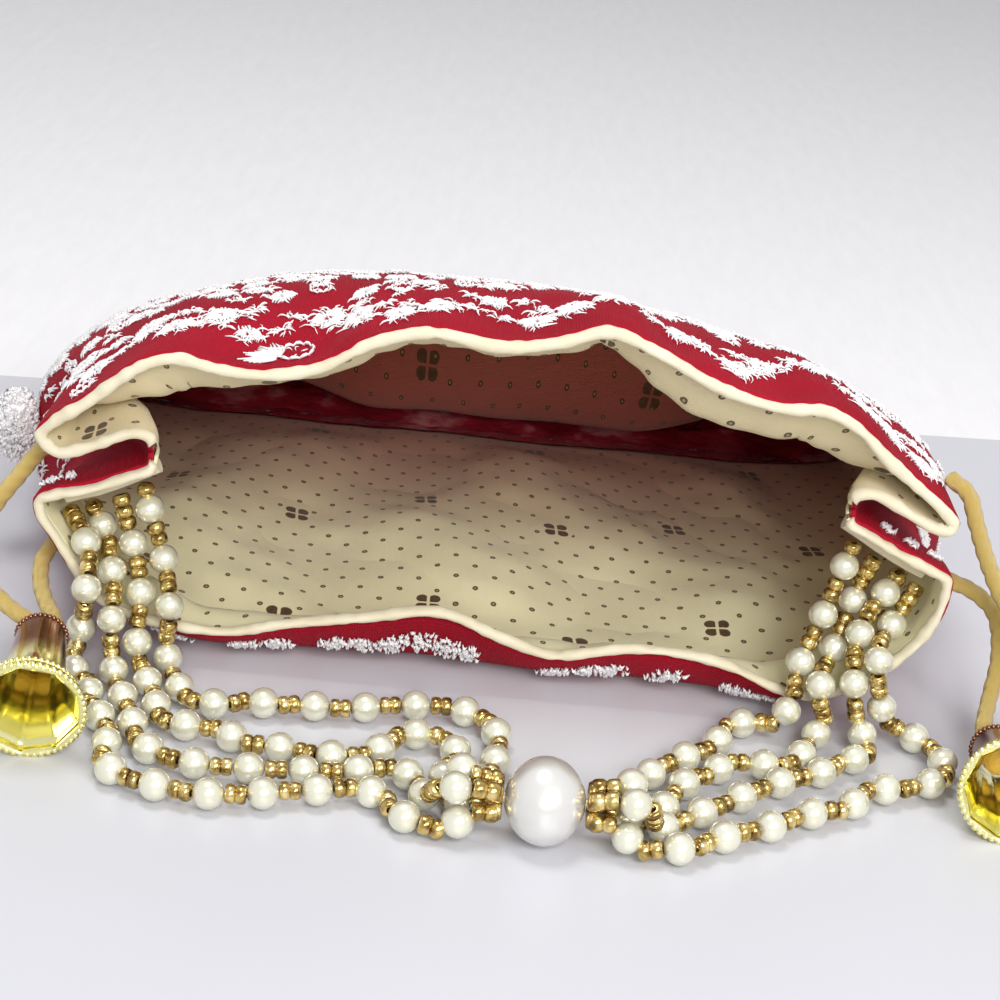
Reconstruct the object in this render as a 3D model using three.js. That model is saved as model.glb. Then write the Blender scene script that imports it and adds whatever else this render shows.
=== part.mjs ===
// A potli bag: a lined drawstring pouch of embroidered cloth, with a beaded handle and two bells.
// It lies on its bottom panel with its mouth open towards -Y, and the handle is laid on the table in front.
// Millimetres, +Z up. Shapes are written from the middle of the mouth, and the whole group is then
// moved so that its origin is the middle of the flat underside.
import * as THREE from "three";

// Driving dimensions
const MOUTH_WIDTH = 180;
const MOUTH_HEIGHT = 80;
const BAG_DEPTH = 180;
const CLOTH = 0.9;
const LINING = 0.7;
const LAYER_GAP = 0.4;
const LINING_DEPTH = 130;
const TUCK_DEPTH = 22;
const TUCK_OPEN = 5.5;
const TUCK_FADE = 50;
const LIP_CURL = 20;
const BINDING_RADIUS = 1.7;
const CASING_DEPTH = 20;
const CORD = 3.4;
const BELL_LENGTH = 25;
const BELL_RADIUS = 10.2;
const BELL_WALL = 0.7;
const BELL_NECK_RADIUS = CORD + BELL_WALL + 0.6;
const PEARL = 6;
const SEED = 3.6;
const BEAD_PITCH = PEARL + 4.3;
const BIG_PEARL_LENGTH = 14.5;
const BIG_PEARL_RADIUS = 8;
const CORE_THREAD = 2;
const CORE_STUB = 3;
const ANCHOR_RADIUS = 1.8;
const ANCHOR_Y = 8;
const CLEARANCE = 0.3;

// The body's section behind the mouth, as shares of the driving dimensions
const BODY = [
  // [share of the depth, half width, crown height, seam height, shift to the left]
  [0, 1, 0.975, 0.575, 0],
  [0.11, 1.033, 0.955, 0.475, 0.011],
  [0.28, 1.1, 0.865, 0.35, 0.033],
  [0.43, 1.122, 0.75, 0.25, 0.067],
  [0.58, 1.111, 0.585, 0.175, 0.089],
  [0.72, 1.089, 0.395, 0.1, 0.111],
  [0.86, 1.056, 0.21, 0.05, 0.122],
  [1, 1.022, 0.05, 0.025, 0.133],
].map(([y, width, crown, seam, shift]) => [
  y * BAG_DEPTH,
  (width * MOUTH_WIDTH) / 2,
  crown * MOUTH_HEIGHT,
  seam * MOUTH_HEIGHT,
  (shift * MOUTH_WIDTH) / 2,
]);
const LEAN = 0.07;
const REST_Y = BAG_DEPTH / 2;
const FOLDS = 5;
const FOLD_HEIGHT = 3;
const GATHER_FROM = (2 / 9) * BAG_DEPTH;
const GATHER_FULL = (5 / 6) * BAG_DEPTH;

// Rows of the cloth, measured from the mouth, and places across a panel as shares of its length:
// close together in the tucks, even along the rim.
const RUN_Y = 8;
const LINING_SHARES = [0.24, 0.4, 0.68, 1];
const ROWS = [0, 3, RUN_Y, CASING_DEPTH, ...LINING_SHARES.map((share) => share * LINING_DEPTH)];
const END_ROWS = [(LINING_DEPTH + BAG_DEPTH) / 2, BAG_DEPTH];
const TUCK_PLACES = [0, 0.011, 0.03, 0.06, 0.085, 0.1, 0.115, 0.132, 0.16];
const RIM_FROM = 0.21;
const RIM_STEPS = 10;
const FINE = 320;

const half = MOUTH_WIDTH / 2;

// The laid-out routes of the cords and strands were drawn on a mouth of this size
const WIDE = MOUTH_WIDTH / 180;
const TALL = MOUTH_HEIGHT / 80;
const material = {
  red: new THREE.MeshStandardMaterial({ color: 0xab1226, roughness: 0.75 }),
  cream: new THREE.MeshStandardMaterial({ color: 0xe6dcb9, roughness: 0.85 }),
  gold: new THREE.MeshStandardMaterial({ color: 0xc9a53a, roughness: 0.25, metalness: 1 }),
  pearl: new THREE.MeshStandardMaterial({ color: 0xebe8d6, roughness: 0.25 }),
  cord: new THREE.MeshStandardMaterial({ color: 0xd9b04e, roughness: 0.5 }),
  white: new THREE.MeshStandardMaterial({ color: 0xf2efe8, roughness: 0.9 }),
};
const bag = new THREE.Group();

function add(name, geometry, look) {
  const mesh = new THREE.Mesh(geometry, look);
  mesh.name = name;
  bag.add(mesh);
  return mesh;
}

function smooth(from, to, value) {
  return THREE.MathUtils.smoothstep(value, from, to);
}

// The value at y of a column of BODY, on smooth steps between its rows
function bodyValue(column, y) {
  let row = 0;
  while (row < BODY.length - 2 && BODY[row + 1][0] < y) row += 1;
  const before = BODY[Math.max(row - 1, 0)];
  const after = BODY[Math.min(row + 2, BODY.length - 1)];
  const [a, b] = [BODY[row], BODY[row + 1]];
  const t = THREE.MathUtils.clamp((y - a[0]) / (b[0] - a[0]), 0, 1);
  const slopeA = ((b[column] - before[column]) / (b[0] - before[0])) * (b[0] - a[0]);
  const slopeB = ((after[column] - a[column]) / (after[0] - a[0])) * (b[0] - a[0]);
  const [t2, t3] = [t * t, t * t * t];
  return (
    (2 * t3 - 3 * t2 + 1) * a[column] +
    (t3 - 2 * t2 + t) * slopeA +
    (3 * t2 - 2 * t3) * b[column] +
    (t3 - t2) * slopeB
  );
}

// A smooth line through points, cut into FINE equal steps
function evenLine(points) {
  const curve = new THREE.CatmullRomCurve3(points, false, "centripetal");
  curve.arcLengthDivisions = 1200;
  return curve.getSpacedPoints(FINE);
}

// A point of the mouth's outline: shares of its half width and of its height, then millimetres upwards
function at(u, v, up = 0) {
  return new THREE.Vector3(u * half, v * MOUTH_HEIGHT + up, 0);
}

// The mouth's outline is the outer face of the cloth. Each panel starts and ends at the tip of a tuck,
// where the side seam is drawn in. The upper rim is an arch with soft waves.
const tip = (half - TUCK_DEPTH) / half;
const leg = TUCK_OPEN / 2;
const TOP_OUTLINE = evenLine([
  at(-tip, 0.568, 0.2),
  at(-tip - 0.004, 0.568, leg - 0.6),
  at(-tip - 0.03, 0.565, leg),
  at(-0.88, 0.517, leg),
  at(-0.95, 0.497, leg),
  at(-0.99, 0.541, leg - 1),
  at(-1, 0.59),
  at(-0.965, 0.639),
  at(-0.9, 0.692),
  at(-0.83, 0.761),
  at(-0.77, 0.809),
  at(-0.7, 0.832),
  at(-0.62, 0.817),
  at(-0.53, 0.811),
  at(-0.41, 0.84),
  at(-0.295, 0.918),
  at(-0.17, 0.957),
  at(-0.03, 0.938),
  at(0.09, 0.962),
  at(0.19, 1),
  at(0.307, 0.958),
  at(0.432, 0.89),
  at(0.568, 0.853),
  at(0.66, 0.856),
  at(0.74, 0.817),
  at(0.81, 0.748),
  at(0.88, 0.688),
  at(0.945, 0.632),
  at(0.98, 0.585),
  at(0.965, 0.531, leg - 1),
  at(0.93, 0.517, leg),
  at(0.87, 0.546, leg),
  at(tip + 0.03, 0.592, leg),
  at(tip + 0.004, 0.595, leg - 0.6),
  at(tip, 0.595, 0.2),
]);
const BOTTOM_OUTLINE = evenLine([
  at(tip, 0.595, -0.2),
  at(tip + 0.004, 0.595, 0.6 - leg),
  at(tip + 0.03, 0.59, -leg),
  at(0.87, 0.541, -leg),
  at(0.94, 0.507, -leg),
  at(0.985, 0.444),
  at(0.99, 0.39),
  at(0.98, 0.327),
  at(0.95, 0.255),
  at(0.89, 0.171),
  at(0.84, 0.117),
  at(0.77, 0.08),
  at(0.68, 0.068),
  at(0.51, 0.137),
  at(0.33, 0.151),
  at(0.145, 0.112),
  at(0.03, 0.146),
  at(-0.11, 0.2),
  at(-0.27, 0.166),
  at(-0.44, 0.127),
  at(-0.58, 0.088),
  at(-0.73, 0.098),
  at(-0.79, 0.112),
  at(-0.855, 0.146),
  at(-0.91, 0.214),
  at(-0.965, 0.312),
  at(-1, 0.375),
  at(-1, 0.424),
  at(-0.955, 0.487, -leg),
  at(-0.89, 0.507, -leg),
  at(-tip - 0.03, 0.558, -leg),
  at(-tip - 0.004, 0.563, 0.6 - leg),
  at(-tip, 0.568, -0.2),
]);

// The body's section: an arch above the seams and a flat floor with rounded sides below them
function bodyOutline(isTop, y) {
  const width = bodyValue(1, y);
  const crown = bodyValue(2, y);
  const seam = bodyValue(3, y);
  const shift = bodyValue(4, y);
  const rising = smooth(GATHER_FROM, GATHER_FULL, y);
  const gathered = FOLD_HEIGHT * rising * (1 - smooth(GATHER_FULL, BAG_DEPTH, y));
  const points = [];
  for (let i = 0; i <= 96; i += 1) {
    const turn = (Math.PI * i) / 96;
    if (isTop) {
      const ripple = gathered * Math.sin(turn) * Math.sin(FOLDS * 2 * turn + y / 40);
      const rise = (crown - seam) * Math.sin(turn) * (1 + LEAN * Math.cos(turn));
      const height = seam + CLEARANCE / 2 + rise + ripple;
      points.push(new THREE.Vector3(-width * Math.cos(turn) - shift, height, 0));
    } else {
      const across = Math.cos(turn);
      const flat = Math.min(1, 1.06 * (1 - across ** 4) ** 0.25);
      points.push(new THREE.Vector3(width * across - shift, (seam - CLEARANCE / 2) * (1 - flat), 0));
    }
  }
  return evenLine(points);
}

// The outer face of a panel at y: the mouth's outline becomes the body's section. The sides and tucks
// fade over TUCK_FADE, and the lower lip is curled up over LIP_CURL.
const outlines = new Map();
function outline(isTop, y) {
  const key = (isTop ? "top" : "bottom") + y;
  if (outlines.has(key)) return outlines.get(key);
  const mouth = isTop ? TOP_OUTLINE : BOTTOM_OUTLINE;
  const body = bodyOutline(isTop, y);
  const side = smooth(0, TUCK_FADE, y);
  const lip = 1 - Math.max(0, 1 - y / LIP_CURL) ** 3;
  const points = mouth.map((point, i) => {
    const fromEnd = Math.min(i, FINE - i) / FINE;
    const middle = isTop ? 0 : smooth(0.19, 0.27, fromEnd);
    return point.clone().lerp(body[i], side + (lip - side) * middle);
  });
  outlines.set(key, points);
  return points;
}

// A point of a layer of a panel, depth millimetres in from the outer face
function layerPoint(isTop, share, y, depth) {
  const line = outline(isTop, y);
  const place = share * FINE;
  const i = Math.min(Math.floor(place), FINE - 1);
  const point = line[i].clone().lerp(line[i + 1], place - i);
  const reach = 3;
  const along = line[Math.min(i + 1 + reach, FINE)].clone().sub(line[Math.max(i - reach, 0)]).normalize();
  if (share === 0 || share === 1) along.set(0, isTop === (share === 0) ? 1 : -1, 0);
  return new THREE.Vector3(point.x + along.y * depth, y, point.y - along.x * depth);
}

const shares = [...TUCK_PLACES];
for (let i = 0; i <= RIM_STEPS; i += 1) {
  shares.push(RIM_FROM + ((1 - 2 * RIM_FROM) * i) / RIM_STEPS);
}
shares.push(...TUCK_PLACES.map((place) => 1 - place).reverse());

// The lining stands off the cloth where the cord runs in its casing, and the bottom one has soft humps
const HUMP_FROM = CASING_DEPTH + 30;
const HUMP_TO = LINING_DEPTH - 25;
const CORNER_FROM = LINING_DEPTH - 70;
const CORNER_TO = LINING_DEPTH - 40;
function liningDepth(isTop, share, y) {
  const fromEnd = Math.min(share, 1 - share);
  const inMiddle = smooth(0.13, 0.22, fromEnd);
  const channel = y < CASING_DEPTH ? Math.sin((Math.PI * y) / CASING_DEPTH) ** 2 : 0;
  const room = (CORD + 4 * LAYER_GAP) * channel * inMiddle;
  const inside = smooth(CASING_DEPTH, HUMP_FROM, y) * (1 - smooth(HUMP_TO, LINING_DEPTH, y)) * inMiddle;
  const wave = isTop ? 2 : 2.2 + 1.8 * Math.cos(share * 21 + y / 30);
  const nearTuck = smooth(RUN_Y, CASING_DEPTH, y) * (1 - smooth(CORNER_FROM, CORNER_TO, y));
  const corner = 2 * nearTuck * (1 - inMiddle);
  return CLOTH + LAYER_GAP + room + corner + wave * inside;
}

// One closed body between two grids of points: an outer face, an inner face and the four edges
function panelGeometry(outer, inner) {
  const [rows, columns] = [outer.length, outer[0].length];
  const positions = [...outer.flat(), ...inner.flat()].flatMap((p) => [p.x, p.y, p.z]);
  const index = [];
  const corner = (layer, row, column) => (layer * rows + row) * columns + column;
  const quad = (a, b, c, d) => index.push(a, b, c, a, c, d);
  for (let r = 0; r < rows - 1; r += 1) {
    for (let c = 0; c < columns - 1; c += 1) {
      quad(corner(0, r, c), corner(0, r, c + 1), corner(0, r + 1, c + 1), corner(0, r + 1, c));
      quad(corner(1, r, c), corner(1, r + 1, c), corner(1, r + 1, c + 1), corner(1, r, c + 1));
    }
    const last = columns - 1;
    quad(corner(0, r, 0), corner(0, r + 1, 0), corner(1, r + 1, 0), corner(1, r, 0));
    quad(corner(0, r, last), corner(1, r, last), corner(1, r + 1, last), corner(0, r + 1, last));
  }
  for (let c = 0; c < columns - 1; c += 1) {
    const last = rows - 1;
    quad(corner(0, 0, c), corner(1, 0, c), corner(1, 0, c + 1), corner(0, 0, c + 1));
    quad(corner(0, last, c), corner(0, last, c + 1), corner(1, last, c + 1), corner(1, last, c));
  }
  return indexed(positions, index);
}

function indexed(positions, index) {
  const geometry = new THREE.BufferGeometry();
  geometry.setAttribute("position", new THREE.Float32BufferAttribute(positions, 3));
  geometry.setIndex(index);
  return geometry;
}

// The outer panels close the bag at its far end: there they turn in and meet halfway up
function outerPanel(isTop) {
  const meet = bodyValue(3, BAG_DEPTH) + (isTop ? CLEARANCE / 2 : -CLEARANCE / 2);
  const sheet = (depth, end) => {
    const rows = [...ROWS, ...END_ROWS.slice(0, -1), end];
    const grid = rows.map((y) => shares.map((share) => layerPoint(isTop, share, y, depth)));
    const edge = grid.at(-1).map((p) => new THREE.Vector3(p.x, p.y, meet));
    return [...grid, edge];
  };
  return panelGeometry(sheet(0, BAG_DEPTH), sheet(CLOTH, BAG_DEPTH - CLOTH));
}

function liningPanel(isTop) {
  const sheet = (extra) =>
    ROWS.map((y) =>
      shares.map((share) => layerPoint(isTop, share, y, liningDepth(isTop, share, y) + extra)),
    );
  return panelGeometry(sheet(0), sheet(LINING));
}

// A tube of rings round a line of points, each ring with its own radius, closed at both ends
function sweep(points, radii, sides) {
  const positions = [];
  const index = [];
  const count = points.length;
  let across = new THREE.Vector3(0, 0, 1);
  points.forEach((point, i) => {
    const before = points[Math.max(i - 1, 0)];
    const after = points[Math.min(i + 1, count - 1)];
    const along = after.clone().sub(before).normalize();
    if (i === 0 && Math.abs(along.z) > 0.9) across = new THREE.Vector3(1, 0, 0);
    across = across.clone().addScaledVector(along, -across.dot(along)).normalize();
    const third = new THREE.Vector3().crossVectors(along, across);
    for (let k = 0; k < sides; k += 1) {
      const turn = (2 * Math.PI * k) / sides;
      const spot = point
        .clone()
        .addScaledVector(across, radii[i] * Math.cos(turn))
        .addScaledVector(third, radii[i] * Math.sin(turn));
      positions.push(spot.x, spot.y, spot.z);
    }
  });
  for (let i = 0; i < count - 1; i += 1) {
    for (let k = 0; k < sides; k += 1) {
      const [a, b] = [i * sides + k, i * sides + ((k + 1) % sides)];
      index.push(a, b, b + sides, a, b + sides, a + sides);
    }
  }
  const [first, last] = [points[0], points[count - 1]];
  const start = positions.length / 3;
  positions.push(first.x, first.y, first.z, last.x, last.y, last.z);
  for (let k = 0; k < sides; k += 1) {
    const next = (k + 1) % sides;
    index.push(start, next, k, start + 1, (count - 1) * sides + k, (count - 1) * sides + next);
  }
  return indexed(positions, index);
}

// The rim's cream binding: a roll along the cut edges of both layers
const wall = CLOTH + LAYER_GAP + LINING;
const BINDING_Y = -(BINDING_RADIUS + CLEARANCE);
function bindingLine(isTop) {
  const places = shares.slice(1, -1);
  return places.map((share) => layerPoint(isTop, share, 0, wall / 2).setY(BINDING_Y));
}

function binding(isTop) {
  const line = bindingLine(isTop);
  return sweep(line, line.map(() => BINDING_RADIUS), 6);
}

// The drawstring's hidden run inside the casing
function hiddenRun(isTop) {
  const squeezed = CORD / 2 - 0.2;
  const depth = CLOTH + LAYER_GAP + 2 * CLEARANCE + squeezed;
  const places = shares.filter((share) => share > RIM_FROM - 0.01 && share < 1.01 - RIM_FROM);
  const line = places.map((share) => layerPoint(isTop, share, RUN_Y, depth));
  return sweep(line, line.map(() => squeezed), 6);
}

// A round cord along points
function cordGeometry(points) {
  const path = new THREE.CatmullRomCurve3(points, false, "centripetal");
  const section = new THREE.Shape();
  section.absarc(0, 0, CORD / 2, 0, 2 * Math.PI);
  const steps = Math.max(6, Math.round(path.getLength() / (2.2 * CORD)) + 2);
  return new THREE.ExtrudeGeometry(section, {
    steps,
    curveSegments: 4,
    extrudePath: path,
  });
}

for (const isTop of [true, false]) {
  const side = isTop ? "top" : "bottom";
  add(side + "_outer_panel", outerPanel(isTop), material.red);
  add(side + "_lining", liningPanel(isTop), material.cream);
  add(side + "_mouth_binding", binding(isTop), material.cream);
  add(side + "_drawstring_run", hiddenRun(isTop), material.cord);
}

// Bells. Each lies with its mouth towards -Y, and its neck holds the two ends of its cord.
const BELLS = {
  left: { mouth: [-81.2 * WIDE, -40.9, BELL_RADIUS], towards: [3.4, -24.4, -2.4] },
  right: { mouth: [99 * WIDE, -36, BELL_RADIUS], towards: [-1.5, -24.4, 5.2] },
};

// The bell's outline, [radius, distance from the neck's end], as shares between neck and mouth
const BELL_FORM = [
  [0, 0],
  [0.03, 0.12],
  [0.1, 0.32],
  [0.24, 0.55],
  [0.5, 0.76],
  [0.84, 0.9],
  [1, 0.95],
  [1, 1],
];

function bellRadius(share) {
  return BELL_NECK_RADIUS + share * (BELL_RADIUS - BELL_NECK_RADIUS);
}

function bellGeometry() {
  const outside = BELL_FORM.map(([r, t]) => new THREE.Vector2(bellRadius(r), -t * BELL_LENGTH));
  const inside = BELL_FORM.map(
    ([r, t]) => new THREE.Vector2(bellRadius(r) - BELL_WALL, -t * BELL_LENGTH),
  );
  const profile = [...outside, ...inside.reverse(), outside[0].clone()];
  return new THREE.LatheGeometry(profile.reverse(), 16);
}

function bellFrame({ mouth, towards }) {
  const forward = new THREE.Vector3(...towards).normalize();
  const neck = new THREE.Vector3(...mouth).addScaledVector(forward, -BELL_LENGTH);
  return { forward, neck };
}

// Where each cord leaves the bag's side and how it runs to the bell, in millimetres
const CORD_ROUTES = {
  left_upper: [
    [-86.2, 10, 42],
    [-90, 8, 40.8],
    [-94.5, 5, 35.3],
    [-98, 1.5, 30.5],
    [-100.5, -2.5, 24.5],
    [-98, -7, 18.5],
    [-92.5, -10.5, 14.8],
  ],
  left_lower: [
    [-87.1, 8, 21.5],
    [-89.3, 4.5, 18.5],
    [-88.8, 0, 15.5],
    [-86.5, -5, 13.5],
    [-84, -9.5, 12.8],
  ],
  right_upper: [
    [86.8, 10, 52],
    [90.2, 6.5, 50.3],
    [92.2, 4.5, 45.5],
    [94.8, 3, 39.5],
    [98.5, 1.5, 32.5],
    [103, 0.5, 26],
    [106, -1, 18],
    [105.5, -3.5, 10],
    [103.4, -6.5, 6.6],
  ],
  right_lower: [
    [90, 10, 30.2],
    [95.5, 8, 28.8],
    [100, 7, 25],
    [102, 5, 17],
    [101, 1.5, 9.5],
    [99.2, -5, 5.8],
  ],
};

for (const [side, bell] of Object.entries(BELLS)) {
  const { forward, neck } = bellFrame(bell);
  const mesh = add(side + "_bell", bellGeometry(), material.gold);
  mesh.position.copy(neck);
  mesh.quaternion.setFromUnitVectors(new THREE.Vector3(0, -1, 0), forward);
  const level = new THREE.Vector3(forward.y, -forward.x, 0).normalize();
  const inNeck = (offset, depth) =>
    neck.clone().addScaledVector(level, offset).addScaledVector(forward, depth);
  const apart = (CORD + CLEARANCE) / 2;
  for (const [route, offset] of [["upper", apart], ["lower", -apart]]) {
    const outward = side === "left" ? offset : -offset;
    const points = CORD_ROUTES[side + "_" + route].map(([x, y, z]) =>
      new THREE.Vector3(x * WIDE, y, z * TALL).addScaledVector(level, outward - Math.sign(outward) * 1.85),
    );
    points.push(inNeck(outward, -3), inNeck(outward, 0), inNeck(outward, 3));
    add(side + "_cord_" + route, cordGeometry(points), material.cord);
  }
  const knot = new THREE.SphereGeometry(CORD, 10, 8).scale(1, 0.8, 1);
  const knotMesh = add(side + "_cord_knot", knot, material.cord);
  knotMesh.position.copy(inNeck(0, 3 + CLEARANCE + 0.8 * CORD));
  knotMesh.quaternion.copy(mesh.quaternion);
}

// The centre pearl, drilled along X, and the thread that ties the eight strands through it
const BIG_PEARL = new THREE.Vector3(13, -50.8, BIG_PEARL_RADIUS);
const bore = CORE_THREAD / 2 + CLEARANCE;
const arc = [];
for (let i = 0; i <= 10; i += 1) {
  const turn = (Math.PI * i) / 10;
  const y = -Math.cos(turn) * (BIG_PEARL_LENGTH / 2);
  arc.push(new THREE.Vector2(Math.max(bore, BIG_PEARL_RADIUS * Math.sin(turn)), y));
}
arc.push(arc[0].clone());
const pearlGeometry = new THREE.LatheGeometry(arc, 16).rotateZ(-Math.PI / 2);
add("centre_pearl", pearlGeometry, material.pearl).position.copy(BIG_PEARL);

const coreLength = BIG_PEARL_LENGTH + 2 * CORE_STUB;
const core = new THREE.CylinderGeometry(CORE_THREAD / 2, CORE_THREAD / 2, coreLength, 10);
core.rotateZ(Math.PI / 2);
add("core_thread", core, material.white).position.copy(BIG_PEARL);

// The thread tabs inside the bag, sewn along the lining of the tucks' lower folds
const ANCHOR_FROM = 0.012;
const ANCHOR_TO = 0.088;
function anchorPoint(side, place) {
  const fromSeam = ANCHOR_FROM + (ANCHOR_TO - ANCHOR_FROM) * place;
  const share = side === "left" ? 1 - fromSeam : fromSeam;
  const depth = liningDepth(false, share, ANCHOR_Y) + LINING + CLEARANCE + ANCHOR_RADIUS;
  return layerPoint(false, share, ANCHOR_Y, depth);
}
for (const side of ["left", "right"]) {
  const line = [0, 0.2, 0.4, 0.6, 0.8, 1].map((place) => anchorPoint(side, place));
  add("handle_anchor_" + side, sweep(line, line.map(() => ANCHOR_RADIUS), 8), material.white);
}

// Routes of the strands, from the anchor over the lower lip and along the table to the centre pearl
const STRAND_ROUTES = {
  left: [
    [[-71, 9, 25], [-66, 4, 19], [-63, -3, 15], [-61, -9, 7], [-59, -14, 3], [-53, -18, 3],
      [-44, -18, 3], [-35, -17.5, 3], [-25, -16.5, 3], [-16, -14, 3], [-5, -13, 3], [3, -18, 3],
      [4.5, -28, 3], [2, -37, 3]],
    [[-73, 8.5, 24], [-70, 3, 18], [-68, -4, 14], [-66, -10, 6], [-62, -18, 3], [-59, -26, 3],
      [-50.5, -28.5, 3], [-43.5, -32.5, 3], [-33, -34, 3], [-22.5, -35, 3], [-14, -27, 3],
      [-7, -22, 3], [-4, -31, 3]],
    [[-76, 8, 24], [-75, 2, 20], [-73.5, -4, 16], [-71.5, -9.5, 8], [-70.5, -17, 3], [-66, -27, 3],
      [-63, -36, 3], [-53, -42, 3], [-43, -42, 3], [-32, -41, 3], [-17, -38.5, 3], [-7, -37, 3]],
    [[-79, 8, 26], [-81, 2, 24], [-80.5, -4, 19], [-79.5, -8, 10], [-77, -13, 3.5], [-73, -23, 3],
      [-68.5, -34, 3], [-67, -42, 3], [-62, -48, 3], [-52, -51, 3], [-42.5, -51, 3], [-33, -48.5, 3],
      [-23.5, -46, 3], [-9, -45, 3]],
  ],
  right: [
    [[70, 9, 27], [66, 5, 19], [62, -3, 14], [58, -7, 5], [50, -9, 3], [47, -16, 3], [42, -22, 3],
      [34, -26, 3], [30, -34, 3]],
    [[72, 9, 26], [69, 4, 19], [67, -4, 14], [65, -9, 5], [62, -15, 3], [56, -21, 3], [47, -27, 3],
      [39, -34, 3], [31, -42, 3]],
    [[75, 9, 26], [74.5, 4, 20], [74.5, -4, 15], [74.5, -9, 6], [71, -16, 3], [66, -23, 3],
      [58, -28, 3], [51, -34, 3], [43, -42, 3], [34, -47, 3]],
    [[78, 9, 28], [80, 3, 25], [82, -4, 21], [84.5, -8, 12], [87, -13, 4], [88, -20, 3], [82, -26, 3],
      [75, -29, 3], [69, -35, 3], [61, -40, 3], [50, -47, 3], [39, -52, 3]],
  ],
};

// Each strand is a chain of points a quarter of a pitch apart: a pearl, then three on its seed beads.
// Neighbours start half a pitch apart, so that their pearls lie side by side in a stagger.
const LINK = BEAD_PITCH / 4;
const SETTLE_PASSES = 600;
const BEAD_CLEARANCE = 0.28;
const FIRST_PEARL = [2, 4, 2, 4];
const END_TURN = [Math.PI / 4, -Math.PI / 4, 0.75 * Math.PI, -0.75 * Math.PI];
const END_SPREAD = (SEED + 2 * CLEARANCE) / Math.SQRT2;
function strandPoints(side, number) {
  const sign = side === "left" ? -1 : 1;
  const start = anchorPoint(side, 0.08 + 0.28 * number);
  start.z -= ANCHOR_RADIUS + 5 * CLEARANCE;
  const below = start.clone().setZ(start.z - LINK);
  const face = BIG_PEARL.x + sign * (BIG_PEARL_LENGTH / 2 + 3 * CLEARANCE);
  const end = new THREE.Vector3(face, BIG_PEARL.y, BIG_PEARL.z);
  end.y += END_SPREAD * Math.cos(END_TURN[number]);
  end.z += END_SPREAD * Math.sin(END_TURN[number]);
  const outOfPearl = [2, 1].map((link) => end.clone().setX(face + sign * link * LINK));
  const route = STRAND_ROUTES[side][number].map(
    ([x, y, z]) => new THREE.Vector3(x * WIDE, y, z > PEARL ? z * TALL : PEARL / 2),
  );
  const stops = [start, below, ...route, ...outOfPearl, end];
  const curve = new THREE.CatmullRomCurve3(stops, false, "centripetal");
  const pearls = Math.round(curve.getLength() / BEAD_PITCH);
  const points = curve.getSpacedPoints(pearls * 4 + FIRST_PEARL[number] - 1);
  points.splice(-3, 3, ...outOfPearl, end);
  points[1] = below;
  return points;
}

function isPearl(number, i) {
  return i >= FIRST_PEARL[number] && (i - FIRST_PEARL[number]) % 4 === 0;
}

// The lower lip and the lining behind it, and the bells, as balls that the strands lie on
function obstacles() {
  const balls = [];
  const roll = bindingLine(false);
  for (let i = 0; i < (roll.length - 1) * 10; i += 1) {
    const centre = roll[Math.floor(i / 10)].clone().lerp(roll[Math.floor(i / 10) + 1], (i % 10) / 10);
    if (Math.abs(centre.x) > 45) balls.push({ centre, radius: BINDING_RADIUS + 0.5 });
  }
  for (let i = -10; i <= 10; i += 1) {
    const centre = BIG_PEARL.clone();
    centre.x += (i / 10) * (coreLength / 2);
    balls.push({ centre, radius: CORE_THREAD / 2 });
  }
  for (let i = 0; i <= 200; i += 1) {
    const share = i / 200;
    for (const y of [0, 3, 6, 9, 12, 15, 18, 22, 26]) {
      const centre = layerPoint(false, share, y, liningDepth(false, share, y) + LINING - 1);
      if (Math.abs(centre.x) > 45) balls.push({ centre, radius: 1.4 });
    }
  }
  for (const bell of Object.values(BELLS)) {
    const { forward, neck } = bellFrame(bell);
    for (const [r, t] of BELL_FORM) {
      const radius = bellRadius(r);
      const centre = neck.clone().addScaledVector(forward, t * BELL_LENGTH - radius * 0.5);
      balls.push({ centre, radius: radius * 1.12 });
    }
  }
  return balls;
}

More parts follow.
